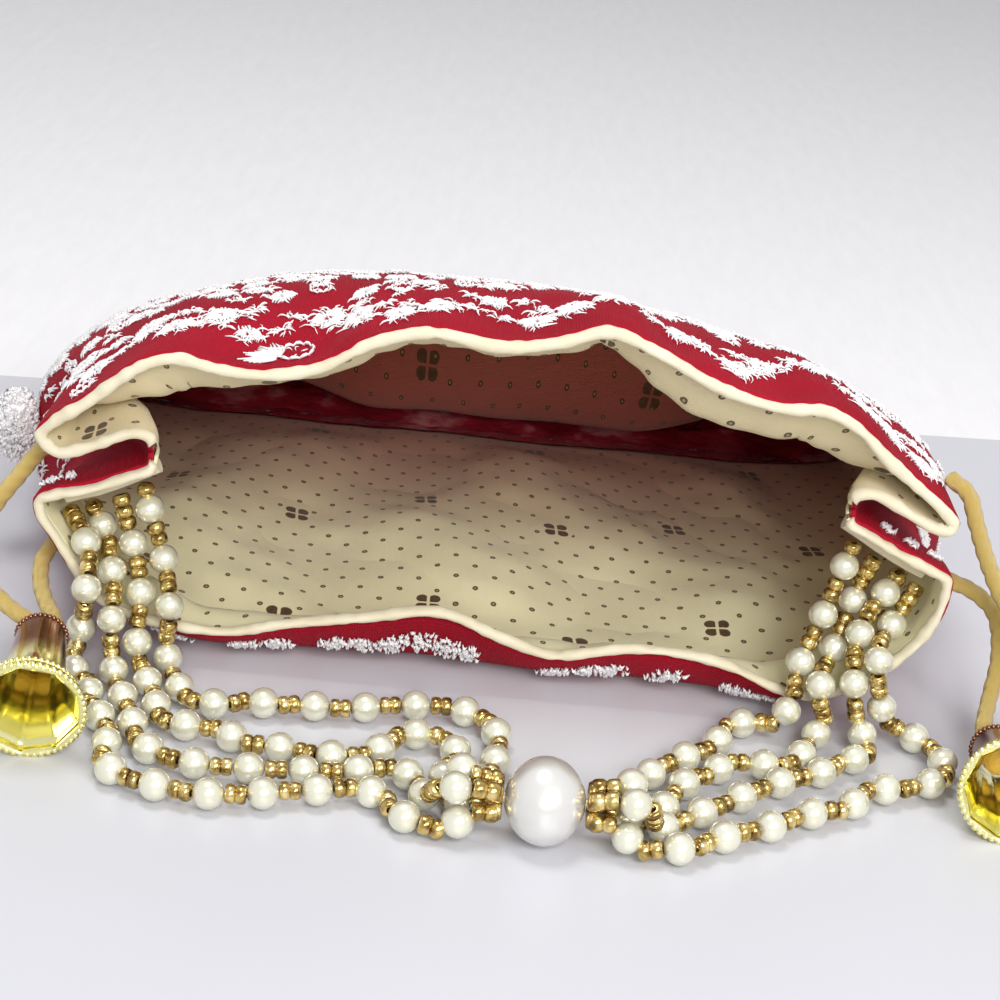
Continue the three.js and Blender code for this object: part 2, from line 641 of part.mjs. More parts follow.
// The strands settle like real chains: links keep their length, beads keep clear of each other,
// of the table, of the lip and of the centre pearl, and everything sinks a little in each pass.
function settle(strands) {
  const beads = strands.flatMap((strand, s) =>
    strand.map((point, i) => ({
      point,
      strand: s,
      i,
      radius: (isPearl(s % 4, i) ? PEARL : SEED) / 2 + BEAD_CLEARANCE,
      held: i < 2 || i >= strand.length - 3,
    })),
  );
  const balls = obstacles();
  const pearl = { centre: BIG_PEARL, radius: BIG_PEARL_RADIUS };
  const away = new THREE.Vector3();
  const move = (bead, vector, by) => {
    if (!bead.held) bead.point.addScaledVector(vector, by);
  };
  const keepApart = (a, b, distance, share) => {
    away.subVectors(a.point, b.point);
    const now = away.length();
    if (now >= distance || now === 0) return;
    const by = ((distance - now) / now) * share;
    move(a, away, by);
    move(b, away, -by);
  };
  const starts = [];
  strands.reduce((total, strand) => {
    starts.push(total);
    return total + strand.length;
  }, 0);
  for (let pass = 0; pass < SETTLE_PASSES; pass += 1) {
    const sinking = pass < SETTLE_PASSES * 0.7 ? 0.05 : 0;
    for (const bead of beads) if (!bead.held) bead.point.z -= sinking;
    for (let a = 0; a < beads.length; a += 1) {
      for (let b = a + 1; b < beads.length; b += 1) {
        const one = beads[a];
        const two = beads[b];
        if (one.strand === two.strand && two.i - one.i < 5) continue;
        if (Math.abs(one.point.x - two.point.x) > PEARL + 1) continue;
        if (Math.abs(one.point.y - two.point.y) > PEARL + 1) continue;
        keepApart(one, two, one.radius + two.radius, 0.5);
      }
    }
    strands.forEach((strand, s) => {
      for (let i = 0; i < strand.length - 1; i += 1) {
        const [a, b] = [beads[starts[s] + i], beads[starts[s] + i + 1]];
        away.subVectors(a.point, b.point);
        const by = ((LINK - away.length()) / away.length()) * 0.5;
        move(a, away, by);
        move(b, away, -by);
        if (i + 2 < strand.length) keepApart(a, beads[starts[s] + i + 2], 1.9 * LINK, 0.5);
        if (i + 4 < strand.length) keepApart(a, beads[starts[s] + i + 4], 3.5 * LINK, 0.3);
      }
    });
    for (const bead of beads) {
      if (bead.held) continue;
      for (const ball of [...balls, pearl]) {
        away.subVectors(bead.point, ball.centre);
        const distance = bead.radius + ball.radius;
        const now = away.length();
        if (now < distance) bead.point.addScaledVector(away, distance / now - 1);
      }
      bead.point.z = Math.max(bead.point.z, bead.radius);
    }
  }
}

// A strand's body: a tube of seed beads that swells to a faceted ball at each pearl
function strandGeometry(points, number) {
  const line = [points[0]];
  const radii = [SEED / 2];
  for (let i = FIRST_PEARL[number]; i < points.length - 1; i += 4) {
    const along = points[i + 1].clone().sub(points[i - 1]).normalize();
    for (const [offset, radius] of [[-0.44, 0.3], [-0.17, 0.485], [0.17, 0.485], [0.44, 0.3]]) {
      line.push(points[i].clone().addScaledVector(along, offset * PEARL));
      radii.push(radius * PEARL - 0.05);
    }
  }
  line.push(points.at(-1));
  radii.push(SEED / 2 - 0.1);
  return sweep(line, radii, 6);
}

const sides = ["left", "right"];
const numbers = [0, 1, 2, 3];
const strands = sides.flatMap((side) => numbers.map((number) => strandPoints(side, number)));
settle(strands);
strands.forEach((points, s) => {
  const name = sides[Math.floor(s / 4)] + "_strand_" + ((s % 4) + 1);
  add(name, strandGeometry(points, s % 4), material.pearl);
});

// The white thread tuft sewn to the bag's left seam, pushed out until it just clears the cloth.
// The panel's flat faces lie a little inside the outline there.
const FACET_DROP = 1.1;
const TUFT = { radii: [4.6, 5.5, 8.5], y: 46, z: 0.36 * MOUTH_HEIGHT };
function tuftCentre() {
  let x = 0;
  for (const dy of [-4, -2, 0, 2, 4]) {
    const lines = [...outline(true, TUFT.y + dy), ...outline(false, TUFT.y + dy)];
    for (const point of lines) {
      const across = 1 - (dy / TUFT.radii[1]) ** 2 - ((point.y - TUFT.z) / TUFT.radii[2]) ** 2;
      if (across > 0) x = Math.min(x, point.x + FACET_DROP - CLEARANCE - TUFT.radii[0] * Math.sqrt(across));
    }
  }
  return new THREE.Vector3(x, TUFT.y, TUFT.z);
}
const tuft = new THREE.SphereGeometry(1, 10, 8).scale(...TUFT.radii);
add("side_tuft", tuft, material.white).position.copy(tuftCentre());

bag.position.y = -REST_Y;
export default bag;
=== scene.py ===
# A potli bag of red embroidered cloth, lying on its side with its mouth open towards the camera,
# its pearl handle laid out in front. Metres, +Z up. Shapes are worked out in millimetres from the
# middle of the mouth, as the solids are, and moved into the part's frame at the end.
import math
import random
from functools import partial

import bpy
import numpy as np
from mathutils import Matrix, Vector


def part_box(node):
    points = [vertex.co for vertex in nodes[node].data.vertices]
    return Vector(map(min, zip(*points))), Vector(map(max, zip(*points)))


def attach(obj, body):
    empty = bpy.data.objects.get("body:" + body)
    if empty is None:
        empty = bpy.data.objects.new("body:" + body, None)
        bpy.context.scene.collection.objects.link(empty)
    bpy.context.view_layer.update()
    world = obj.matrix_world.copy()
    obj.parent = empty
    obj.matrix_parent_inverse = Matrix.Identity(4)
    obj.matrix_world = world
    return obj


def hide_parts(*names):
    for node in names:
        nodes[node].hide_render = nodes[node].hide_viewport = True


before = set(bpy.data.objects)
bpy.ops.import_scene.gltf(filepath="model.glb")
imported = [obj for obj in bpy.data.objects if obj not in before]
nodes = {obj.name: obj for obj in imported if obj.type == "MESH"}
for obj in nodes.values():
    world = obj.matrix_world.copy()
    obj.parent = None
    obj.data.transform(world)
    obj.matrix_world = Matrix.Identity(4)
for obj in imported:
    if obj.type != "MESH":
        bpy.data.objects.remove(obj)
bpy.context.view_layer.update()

# Sizes in millimetres, apart from the counts FOLDS and FINE and the share LEAN.
MOUTH_WIDTH = 180
MOUTH_HEIGHT = 80
BAG_DEPTH = 180
CLOTH = 0.9
LINING = 0.7
LAYER_GAP = 0.4
LINING_DEPTH = 130
TUCK_DEPTH = 22
TUCK_OPEN = 5.5
TUCK_FADE = 50
LIP_CURL = 20
CASING_DEPTH = 20
RUN_Y = 8
CORD = 3.4
CLEARANCE = 0.3
FOLDS = 5
FOLD_HEIGHT = 3
LEAN = 0.07
PEARL = 6
SEED = 3.6
FINE = 320
REST_Y = BAG_DEPTH / 2
FLAT_WIDTH = 235
FULL_TURN = 2 * math.pi

rng = random.Random(7)


def metres(points):
    """Millimetres from the middle of the mouth to metres in the part's frame."""
    points = np.asarray(points, dtype=float)
    return (points - np.array([0.0, REST_Y, 0.0])) * 0.001


def smooth(low, high, x):
    """0 below low, 1 above high, and an even rise between them."""
    t = np.clip((np.asarray(x, dtype=float) - low) / (high - low), 0, 1)
    return t * t * (3 - 2 * t)


def unit(vectors):
    """A vector, or each row of vectors, made one long."""
    vectors = np.asarray(vectors, dtype=float)
    return vectors / np.maximum(np.linalg.norm(vectors, axis=-1, keepdims=True), 1e-9)


def placed(name, data):
    """A new object in the scene."""
    piece = bpy.data.objects.new(name, data)
    bpy.context.scene.collection.objects.link(piece)
    return piece


# Camera.
CAMERA_AWAY = 400
CAMERA_RISE = math.radians(24)
CAMERA_ROLL = math.radians(5.5)
LOOK_AT = np.array([0, 0, 42.5])
FOCAL_PIXELS = 2080

forward = Vector((0, math.cos(CAMERA_RISE), -math.sin(CAMERA_RISE)))
level_up = Vector((0, math.sin(CAMERA_RISE), math.cos(CAMERA_RISE)))
across = Vector((1, 0, 0))
right = across * math.cos(CAMERA_ROLL) + level_up * math.sin(CAMERA_ROLL)
up = level_up * math.cos(CAMERA_ROLL) - across * math.sin(CAMERA_ROLL)
lens = bpy.data.cameras.new("camera")
lens.sensor_width = 36
lens.sensor_fit = "HORIZONTAL"
lens.lens = 36 * FOCAL_PIXELS / 1000
lens.clip_start = 0.01
camera = placed("camera", lens)
turned = Matrix((right, up, -forward)).transposed().to_4x4()
camera.matrix_world = Matrix.Translation(Vector(metres(LOOK_AT)) - forward * CAMERA_AWAY * 0.001) @ turned
bpy.context.scene.camera = camera


# Materials.
class Look:
    """A material with short calls for its nodes. A value is a number, a colour or a node's output."""

    def __init__(self, name, color, roughness, metallic=0.0, **inputs):
        self.material = bpy.data.materials.new(name)
        self.material.use_nodes = True
        self.tree = self.material.node_tree
        self.shader = self.tree.nodes["Principled BSDF"].inputs
        self.link(color, self.shader["Base Color"])
        self.link(roughness, self.shader["Roughness"])
        self.link(metallic, self.shader["Metallic"])
        for key, value in inputs.items():
            self.link(value, self.shader[key.replace("_", " ")])

    def link(self, value, socket):
        if isinstance(value, bpy.types.NodeSocket):
            self.tree.links.new(value, socket)
        else:
            socket.default_value = (*value, 1) if socket.type == "RGBA" else value

    def node(self, kind, inputs, **settings):
        made = self.tree.nodes.new("ShaderNode" + kind)
        for key, value in settings.items():
            setattr(made, key, value)
        for key, value in inputs.items():
            self.link(value, made.inputs[key])
        return made

    def math(self, operation, *values):
        return self.node("Math", dict(enumerate(values)), operation=operation).outputs[0]

    def mix(self, share, one, two):
        return self.node("Mix", {0: share, 6: one, 7: two}, data_type="RGBA").outputs[2]

    def where(self, kind="Object"):
        return self.node("TexCoord", {}).outputs[kind]

    def split(self, vector):
        return self.node("SeparateXYZ", {0: vector}).outputs

    def stretched(self, vector, scale):
        return self.node("Mapping", {"Vector": vector, "Scale": scale}).outputs[0]

    def noise(self, scale, detail=4, vector=None, roughness=0.5):
        inputs = {"Vector": vector or self.where(), "Scale": scale, "Detail": detail, "Roughness": roughness}
        return self.node("TexNoise", inputs).outputs["Fac"]

    def wave(self, scale, direction, vector, distortion=0.0):
        inputs = {"Vector": vector, "Scale": scale, "Distortion": distortion}
        return self.node("TexWave", inputs, bands_direction=direction).outputs["Fac"]

    def weave(self, vector, scale):
        """A plain weave's height: crossed threads."""
        return self.math("MULTIPLY", self.wave(scale, "X", vector), self.wave(scale, "Y", vector))

    def ramp(self, value, *stops):
        made = self.node("ValToRGB", {0: value})
        elements = made.color_ramp.elements
        while len(elements) < len(stops):
            elements.new(0.5)
        for element, (place, color) in zip(elements, stops):
            element.position = place
            element.color = (*color, 1)
        return made.outputs[0]

    def bump(self, height, strength, distance):
        made = self.node("Bump", {"Strength": strength, "Distance": distance, "Height": height})
        self.link(made.outputs[0], self.shader["Normal"])

    def color(self, value):
        self.link(value, self.shader["Base Color"])

    def roughness(self, value):
        self.link(value, self.shader["Roughness"])


def red_cloth():
    look = Look("red_cloth", (0.4, 0.004, 0.016), 0.7, Specular_IOR_Level=0.15)
    place = look.where("UV")
    patches = look.noise(3.5, 5, place)
    look.color(look.mix(patches, (0.22, 0.0015, 0.009), (0.47, 0.005, 0.024)))
    slubs = look.math("MULTIPLY", look.noise(14, 6, place), 3.0)
    height = look.math("ADD", look.weave(place, 60), slubs)
    look.bump(height, 0.4, 0.0008)
    return look.material


# The red cloth in painted shade: its maroon is painted shade of the red cloth, with painted highlights on the
# crumples.
def red_satin_painted_shade_highlights():
    look = Look("red_satin_painted_shade_highlights", (0.2, 0.008, 0.016), 0.24, Coat_Weight=0.5, Coat_Roughness=0.12)
    creases = look.noise(60, 3, roughness=0.5)
    # Painted shade and highlight: the dark stop stands for shade in the creases, the bright stop for gloss on
    # their tops.
    dark, middle, bright = (0.22, 0.006, 0.014), (0.55, 0.03, 0.05), (0.9, 0.3, 0.3)
    look.color(look.ramp(creases, (0.3, dark), (0.56, middle), (0.66, bright)))
    look.bump(look.noise(75, 4), 0.8, 0.003)
    return look.material


# The lining's print in millimetres. A drop is the share of the pitch by which every second column
# is moved, and the starts are large enough to keep both directions positive.
DOT_PITCH = (4.1, 8.2)
DOT_START = (800, 800)
DOT_DROP = 0.5
DOT_RADIUS = 0.62
DOT_HOLE = 0.26
SPRIG_PITCH = (31, 50)
SPRIG_START = (775, 990)
SPRIG_DROP = -0.22
SPRIG_RADIUS = 3.3
SPRIG_ROOM = 4.0
SPRIG_GAPS = (0.34, 0.26)
# Painted red glow: the colour that light bounced off the red cloth gives the lining deep in the bag.
PAINTED_RED_GLOW = (0.4, 0.065, 0.05)


def printed_lining(name, light, dark, shift, painted_glow):
    """Cream cotton with foil dots and four-petal sprigs, UV in decimetres. The last argument gives a painted
    red glow, standing in for light bounced off the red cloth round it: it tints the lining from the first
    depth to the second, by up to the third value as a share."""
    look = Look(name, light, 0.82, Sheen_Weight=0.15)
    add, minus, times, over = (partial(look.math, kind) for kind in ("ADD", "SUBTRACT", "MULTIPLY", "DIVIDE"))
    size, floor, part = (partial(look.math, kind) for kind in ("ABSOLUTE", "FLOOR", "FRACT"))
    below, least, most = (partial(look.math, kind) for kind in ("LESS_THAN", "MINIMUM", "MAXIMUM"))
    uv = look.where("UV")
    decimetres = look.split(uv)
    wobble = times(minus(look.noise(9, 2, uv), 0.5), 1.1)
    u = add(times(decimetres[0], 100.0), wobble)
    v = add(times(decimetres[1], 100.0), wobble)

    def cell(pitch, start_u, start_v, drop_share):
        """Where a point lies from the middle of its cell, and how far."""
        column = over(add(u, start_u), pitch[0])
        drop = times(look.math("MODULO", floor(column), 2.0), drop_share)
        row = add(over(add(v, start_v), pitch[1]), drop)
        x = times(minus(part(column), 0.5), pitch[0])
        y = times(minus(part(row), 0.5), pitch[1])
        return x, y, look.math("SQRT", add(times(x, x), times(y, y)))

    _, _, dot_far = cell(DOT_PITCH, *DOT_START, DOT_DROP)
    starts = (SPRIG_START[0] + shift[0], SPRIG_START[1] + shift[1])
    x, y, sprig_far = cell(SPRIG_PITCH, *starts, SPRIG_DROP)
    lobe = size(look.math("SINE", times(look.math("ARCTAN2", y, x), 2.0)))
    petal = below(sprig_far, times(look.math("POWER", lobe, 0.35), SPRIG_RADIUS))
    gaps = most(below(size(x), SPRIG_GAPS[0]), below(size(y), SPRIG_GAPS[1]))
    dots = times(below(dot_far, DOT_RADIUS), look.math("GREATER_THAN", sprig_far, SPRIG_ROOM))
    print_mask = most(times(petal, minus(1.0, gaps)), dots)
    # Painted red glow: deeper in, the cream is mixed towards red, standing in for light bounced off the red
    # cloth.
    depth = least(most(over(minus(v, painted_glow[0]), painted_glow[1] - painted_glow[0]), 0.0), 1.0)
    cloth = look.mix(look.noise(4, 5, uv), dark, light)
    cloth = look.mix(times(depth, painted_glow[2]), cloth, PAINTED_RED_GLOW)
    foil = look.mix(look.noise(60, 2, uv), (0.03, 0.012, 0.004), (0.15, 0.08, 0.025))
    foil = look.mix(times(below(dot_far, DOT_HOLE), 0.7), foil, (0.5, 0.38, 0.18))
    look.color(look.mix(print_mask, cloth, foil))
    look.roughness(minus(0.84, times(print_mask, 0.4)))
    look.bump(add(look.weave(uv, 110), times(look.noise(10, 6, uv), 3.0)), 0.3, 0.0008)
    return look.material


def plain_cream():
    look = Look("cream_roll", (0.78, 0.72, 0.53), 0.8, Sheen_Weight=0.15)
    soft = look.noise(130, 5)
    look.color(look.mix(soft, (0.62, 0.53, 0.34), (0.86, 0.8, 0.62)))
    look.bump(soft, 0.5, 0.0012)
    return look.material


def white_thread():
    look = Look("white_thread", (0.9, 0.88, 0.88), 0.7, Sheen_Weight=0.5)
    strands = look.noise(900, 3)
    look.color(look.mix(strands, (0.88, 0.84, 0.84), (0.97, 0.96, 0.96)))
    look.bump(strands, 0.6, 0.0004)
    return look.material


def cord_satin():
    look = Look("cord_satin", (0.66, 0.42, 0.12), 0.36, Sheen_Weight=0.3)
    place = look.where("UV")
    fibres = look.wave(14, "DIAGONAL", look.stretched(place, (1, 6, 1)), 1.5)
    look.color(look.mix(fibres, (0.55, 0.33, 0.05), (0.92, 0.7, 0.18)))
    look.bump(fibres, 0.6, 0.0004)
    return look.material


def polished_gold():
    """Gold plate, dark brown towards the neck: UV's second value is the share of the bell's length."""
    look = Look("polished_gold", (0.9, 0.74, 0.2), 0.13, 1.0)
    dull = look.noise(160, 5)
    plate = look.mix(dull, (0.8, 0.73, 0.26), (0.98, 0.94, 0.5))
    along = look.split(look.where("UV"))[1]
    neck = look.ramp(along, (0.35, (1, 1, 1)), (0.62, (0, 0, 0)))
    look.color(look.mix(neck, plate, (0.26, 0.12, 0.07)))
    look.roughness(look.math("ADD", look.math("MULTIPLY", dull, 0.16), 0.08))
    look.bump(look.noise(300, 3), 0.08, 0.0005)
    return look.material


def pearl_look(name, light, dark):
    """Pearl lustre: a half metallic body under a clear coat."""
    look = Look(name, light, 0.24, 0.45, Coat_Weight=1.0, Coat_Roughness=0.05)
    look.color(look.mix(look.noise(150, 3), dark, light))
    return look.material


def seed_gold():
    look = Look("seed_gold", (0.7, 0.5, 0.16), 0.18, 0.85, Coat_Weight=0.5)
    dark, middle, bright = (0.18, 0.1, 0.02), (0.6, 0.42, 0.12), (0.95, 0.82, 0.42)
    look.color(look.ramp(look.noise(420, 3), (0.36, dark), (0.53, middle), (0.72, bright)))
    return look.material


RED = red_cloth()
RED_SATIN_PAINTED_SHADE = red_satin_painted_shade_highlights()
# Both linings carry the painted red glow. The upper lining is the same cloth as the lower one: its pinker
# cream and its earlier, stronger red are painted glow.
CREAM_BELOW_PAINTED_GLOW = printed_lining(
    "lining_lower_painted_glow", light=(0.86, 0.82, 0.54), dark=(0.7, 0.64, 0.38), shift=(4, 14), painted_glow=(60, 135, 0.85)
)
CREAM_ABOVE_PAINTED_GLOW = printed_lining(
    "lining_upper_painted_glow", light=(0.82, 0.72, 0.46), dark=(0.68, 0.55, 0.32), shift=(28, 30), painted_glow=(25, 70, 0.92)
)
ROLL = plain_cream()
WHITE = white_thread()
SATIN = cord_satin()
GOLD = polished_gold()
BIG_PEARL_LOOK = pearl_look("big_pearl", (0.8, 0.79, 0.76), (0.7, 0.68, 0.64))
PEARL_LOOK = pearl_look("small_pearl", (0.86, 0.85, 0.72), (0.7, 0.68, 0.5))
SEED_LOOK = seed_gold()


# Mesh helpers.
def make(name, vertices, faces, material, slot, body="bag", uvs=None):
    """A smooth mesh with a UV for each vertex, riding on a body of the part."""
    mesh = bpy.data.meshes.new(name)
    mesh.from_pydata([tuple(v) for v in vertices], [], [tuple(f) for f in faces])
    if uvs is not None:
        layer = mesh.uv_layers.new(name="UVMap")
        corners = np.empty(len(mesh.loops), dtype=int)
        mesh.loops.foreach_get("vertex_index", corners)
        layer.data.foreach_set("uv", np.asarray(uvs, dtype=float)[corners].ravel())
    mesh.shade_smooth()
    mesh.validate()
    piece = placed(name, mesh)
    mesh.materials.append(material)
    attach(piece, body)
    return piece


def dress(names, material):
    """Gives solids that stay in sight a material."""
    for name in names:
        nodes[name].data.materials.clear()
        nodes[name].data.materials.append(material)


def middle_and_radii(node):
    """The middle of a solid's box and half its sizes, in millimetres from the middle of the mouth."""
    low, high = (np.array(corner) * 1000 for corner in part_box(node))
    return (low + high) / 2 + [0, REST_Y, 0], (high - low) / 2


def grid_faces(rows, columns, wrap=False, start=0):
    """Four-sided faces between rows of vertices; wrap closes each row to a ring."""
    faces = []
    last = columns if wrap else columns - 1
    for r in range(rows - 1):
        for c in range(last):
            n = (c + 1) % columns
            a, b = start + r * columns + c, start + r * columns + n
            faces.append((a, b, b + columns, a + columns))
    return faces


def circle(centre, one, two, radius, count):
    """Points round a centre in the plane of two directions, with one radius or one for each."""
    turns = np.linspace(0, FULL_TURN, count, endpoint=False)[:, None]
    return list(centre + (one * np.cos(turns) + two * np.sin(turns)) * np.reshape(radius, (-1, 1)))


def caps(rings, sides):
    """The two end faces of a tube of that many rings."""
    last = (rings - 1) * sides
    return [tuple(reversed(range(sides))), tuple(range(last, last + sides))]


def frames(path, up=(0, 0, 1.0)):
    """Each point of a path with two directions across it, which turn as little as they can."""
    along = unit(np.gradient(np.asarray(path, dtype=float), axis=0))
    up = np.array(up)
    if abs(np.dot(up, along[0])) > 0.9:
        up = np.array([1.0, 0, 0])
    for point, forward in zip(path, along):
        up = unit(up - forward * np.dot(up, forward))
        yield point, up, np.cross(forward, up)


class Many:
    """Gathers many small shapes into one mesh."""

    def __init__(self):
        self.vertices = []
        self.faces = []
        self.uvs = []

    def add(self, vertices, faces, uvs=None):
        start = len(self.vertices)
        self.vertices.extend(vertices)
        self.faces.extend(tuple(i + start for i in face) for face in faces)
        self.uvs.extend(uvs if uvs is not None else [(0.0, 0.0)] * len(vertices))

    def make(self, name, material, slot, body="bag"):
        return make(name, metres(self.vertices), self.faces, material, slot, body, self.uvs)


def hermite(a, b, slope_a, slope_b, t):
    """The cubic that leaves a and reaches b with these slopes."""
    return (
        (2 * t**3 - 3 * t**2 + 1) * a
        + (t**3 - 2 * t**2 + t) * slope_a
        + (3 * t**2 - 2 * t**3) * b
        + (t**3 - t**2) * slope_b
    )


def spline(points, steps):
    """Even points on a centripetal Catmull-Rom line, as the solids use."""
    points = np.asarray(points, dtype=float)
    points = np.vstack([2 * points[0] - points[1], points, 2 * points[-1] - points[-2]])
    dense = []
    for i in range(1, len(points) - 2):
        p0, p1, p2, p3 = points[i - 1 : i + 3]
        pairs = ((p0, p1), (p1, p2), (p2, p3))
        d0, d1, d2 = (max(np.linalg.norm(b - a) ** 0.5, 1e-4) for a, b in pairs)
        m1 = ((p1 - p0) / d0 - (p2 - p0) / (d0 + d1) + (p2 - p1) / d1) * d1
        m2 = ((p2 - p1) / d1 - (p3 - p1) / (d1 + d2) + (p3 - p2) / d2) * d1
        t = np.linspace(0, 1, 40, endpoint=False)[:, None]
        dense.append(hermite(p1, p2, m1, m2, t))
    dense.append(points[-2][None, :])
    dense = np.vstack(dense)
    travelled = np.concatenate([[0], np.cumsum(np.linalg.norm(np.diff(dense, axis=0), axis=1))])
    wanted = np.linspace(0, travelled[-1], steps + 1)
    return np.stack([np.interp(wanted, travelled, dense[:, k]) for k in range(dense.shape[1])], axis=1)


# The cloth's form, as in the solids. BODY holds shares along the bag: place, half width, height of
# the crown, height of the side seam, and shift to the left. A rim's points hold shares of half the
# mouth's width and of its height, and a rise in millimetres.
BODY = [
    (0, 1, 0.975, 0.575, 0),
    (0.11, 1.033, 0.955, 0.475, 0.011),
    (0.28, 1.1, 0.865, 0.35, 0.033),
    (0.43, 1.122, 0.75, 0.25, 0.067),
    (0.58, 1.111, 0.585, 0.175, 0.089),
    (0.72, 1.089, 0.395, 0.1, 0.111),
    (0.86, 1.056, 0.21, 0.05, 0.122),
    (1, 1.022, 0.05, 0.025, 0.133),
]
HALF = MOUTH_WIDTH / 2
BODY_SIZES = np.array(BODY) * [BAG_DEPTH, HALF, MOUTH_HEIGHT, MOUTH_HEIGHT, HALF]
TIP = (HALF - TUCK_DEPTH) / HALF
LEG = TUCK_OPEN / 2
TOP_RIM = [
    (-TIP, 0.568, 0.2), (-TIP - 0.004, 0.568, LEG - 0.6), (-TIP - 0.03, 0.565, LEG),
    (-0.88, 0.517, LEG), (-0.95, 0.497, LEG), (-0.99, 0.541, LEG - 1), (-1, 0.59, 0),
    (-0.965, 0.639, 0), (-0.9, 0.692, 0), (-0.83, 0.761, 0), (-0.77, 0.809, 0), (-0.7, 0.832, 0),
    (-0.62, 0.817, 0), (-0.53, 0.811, 0), (-0.41, 0.84, 0), (-0.295, 0.918, 0), (-0.17, 0.957, 0),
    (-0.03, 0.938, 0), (0.09, 0.962, 0), (0.19, 1, 0), (0.307, 0.958, 0), (0.432, 0.89, 0),
    (0.568, 0.853, 0), (0.66, 0.856, 0), (0.74, 0.817, 0), (0.81, 0.748, 0), (0.88, 0.688, 0),
    (0.945, 0.632, 0), (0.98, 0.585, 0), (0.965, 0.531, LEG - 1), (0.93, 0.517, LEG),
    (0.87, 0.546, LEG), (TIP + 0.03, 0.592, LEG), (TIP + 0.004, 0.595, LEG - 0.6), (TIP, 0.595, 0.2),
]
BOTTOM_RIM = [
    (TIP, 0.595, -0.2), (TIP + 0.004, 0.595, 0.6 - LEG), (TIP + 0.03, 0.59, -LEG), (0.87, 0.541, -LEG),
    (0.94, 0.507, -LEG), (0.985, 0.444, 0), (0.99, 0.39, 0), (0.98, 0.327, 0), (0.95, 0.255, 0),
    (0.89, 0.171, 0), (0.84, 0.117, 0), (0.77, 0.08, 0), (0.68, 0.068, 0), (0.51, 0.137, 0),
    (0.33, 0.151, 0), (0.145, 0.112, 0), (0.03, 0.146, 0), (-0.11, 0.2, 0), (-0.27, 0.166, 0),
    (-0.44, 0.127, 0), (-0.58, 0.088, 0), (-0.73, 0.098, 0), (-0.79, 0.112, 0), (-0.855, 0.146, 0),
    (-0.91, 0.214, 0), (-0.965, 0.312, 0), (-1, 0.375, 0), (-1, 0.424, 0), (-0.955, 0.487, -LEG),
    (-0.89, 0.507, -LEG), (-TIP - 0.03, 0.558, -LEG), (-TIP - 0.004, 0.563, 0.6 - LEG),
    (-TIP, 0.568, -0.2),
]


def rim_line(rim):
    return spline([(u * HALF, v * MOUTH_HEIGHT + up) for u, v, up in rim], FINE)


MOUTH = {True: rim_line(TOP_RIM), False: rim_line(BOTTOM_RIM)}


def body_value(column, y):
    """A column of BODY_SIZES at a depth, read along a smooth curve."""
    row = 0
    while row < len(BODY_SIZES) - 2 and BODY_SIZES[row + 1][0] < y:
        row += 1
    before = BODY_SIZES[max(row - 1, 0)]
    after = BODY_SIZES[min(row + 2, len(BODY_SIZES) - 1)]
    a, b = BODY_SIZES[row], BODY_SIZES[row + 1]
    t = min(max((y - a[0]) / (b[0] - a[0]), 0), 1)
    slope_a = (b[column] - before[column]) / (b[0] - before[0]) * (b[0] - a[0])
    slope_b = (after[column] - a[column]) / (after[0] - a[0]) * (b[0] - a[0])
    return hermite(a[column], b[column], slope_a, slope_b, t)


def body_outline(is_top, y):
    """A panel's line across the bag behind its mouth."""
    width, crown, seam, shift = (body_value(column, y) for column in (1, 2, 3, 4))
    gathered = FOLD_HEIGHT * smooth(40, 150, y) * (1 - smooth(150, BAG_DEPTH, y))
    turn = np.linspace(0, math.pi, 97)
    if is_top:
        folds = gathered * np.sin(turn) * np.sin(FOLDS * 2 * turn + y / 40)
        rise = (crown - seam) * np.sin(turn) * (1 + LEAN * np.cos(turn))
        height = seam + CLEARANCE / 2 + rise + folds
        points = np.stack([-width * np.cos(turn) - shift, height], axis=1)
    else:
        across = np.cos(turn)
        flat = np.minimum(1, 1.06 * np.maximum(1 - across**4, 0) ** 0.25)
        points = np.stack([width * across - shift, (seam - CLEARANCE / 2) * (1 - flat)], axis=1)
    return spline(points, FINE)


outlines = {}


def outline(is_top, y):
    """A panel's line across the bag at any depth: its rim, blended into its body."""
    key = (is_top, round(float(y), 4))
    if key not in outlines:
        share = np.arange(FINE + 1) / FINE
        from_end = np.minimum(share, 1 - share)
        side = smooth(0, TUCK_FADE, y)
        lip = 1 - max(0, 1 - y / LIP_CURL) ** 3
        middle = 0 if is_top else smooth(0.19, 0.27, from_end)
        mix = (side + (lip - side) * middle) * np.ones(FINE + 1)
        outlines[key] = MOUTH[is_top] * (1 - mix[:, None]) + body_outline(is_top, y) * mix[:, None]
    return outlines[key]


def layer(is_top, shares, y, depth):
    """Points of a layer of a panel, depth millimetres in from its outer face."""
    line = outline(is_top, y)
    place = np.asarray(shares, dtype=float) * FINE
    i = np.minimum(np.floor(place).astype(int), FINE - 1)
    point = line[i] + (line[i + 1] - line[i]) * (place - i)[:, None]
    along = unit(line[np.minimum(i + 4, FINE)] - line[np.maximum(i - 3, 0)])
    depth = np.broadcast_to(depth, place.shape)
    x = point[:, 0] + along[:, 1] * depth
    z = point[:, 1] - along[:, 0] * depth
    return np.stack([x, np.full(place.shape, y), z], axis=1)


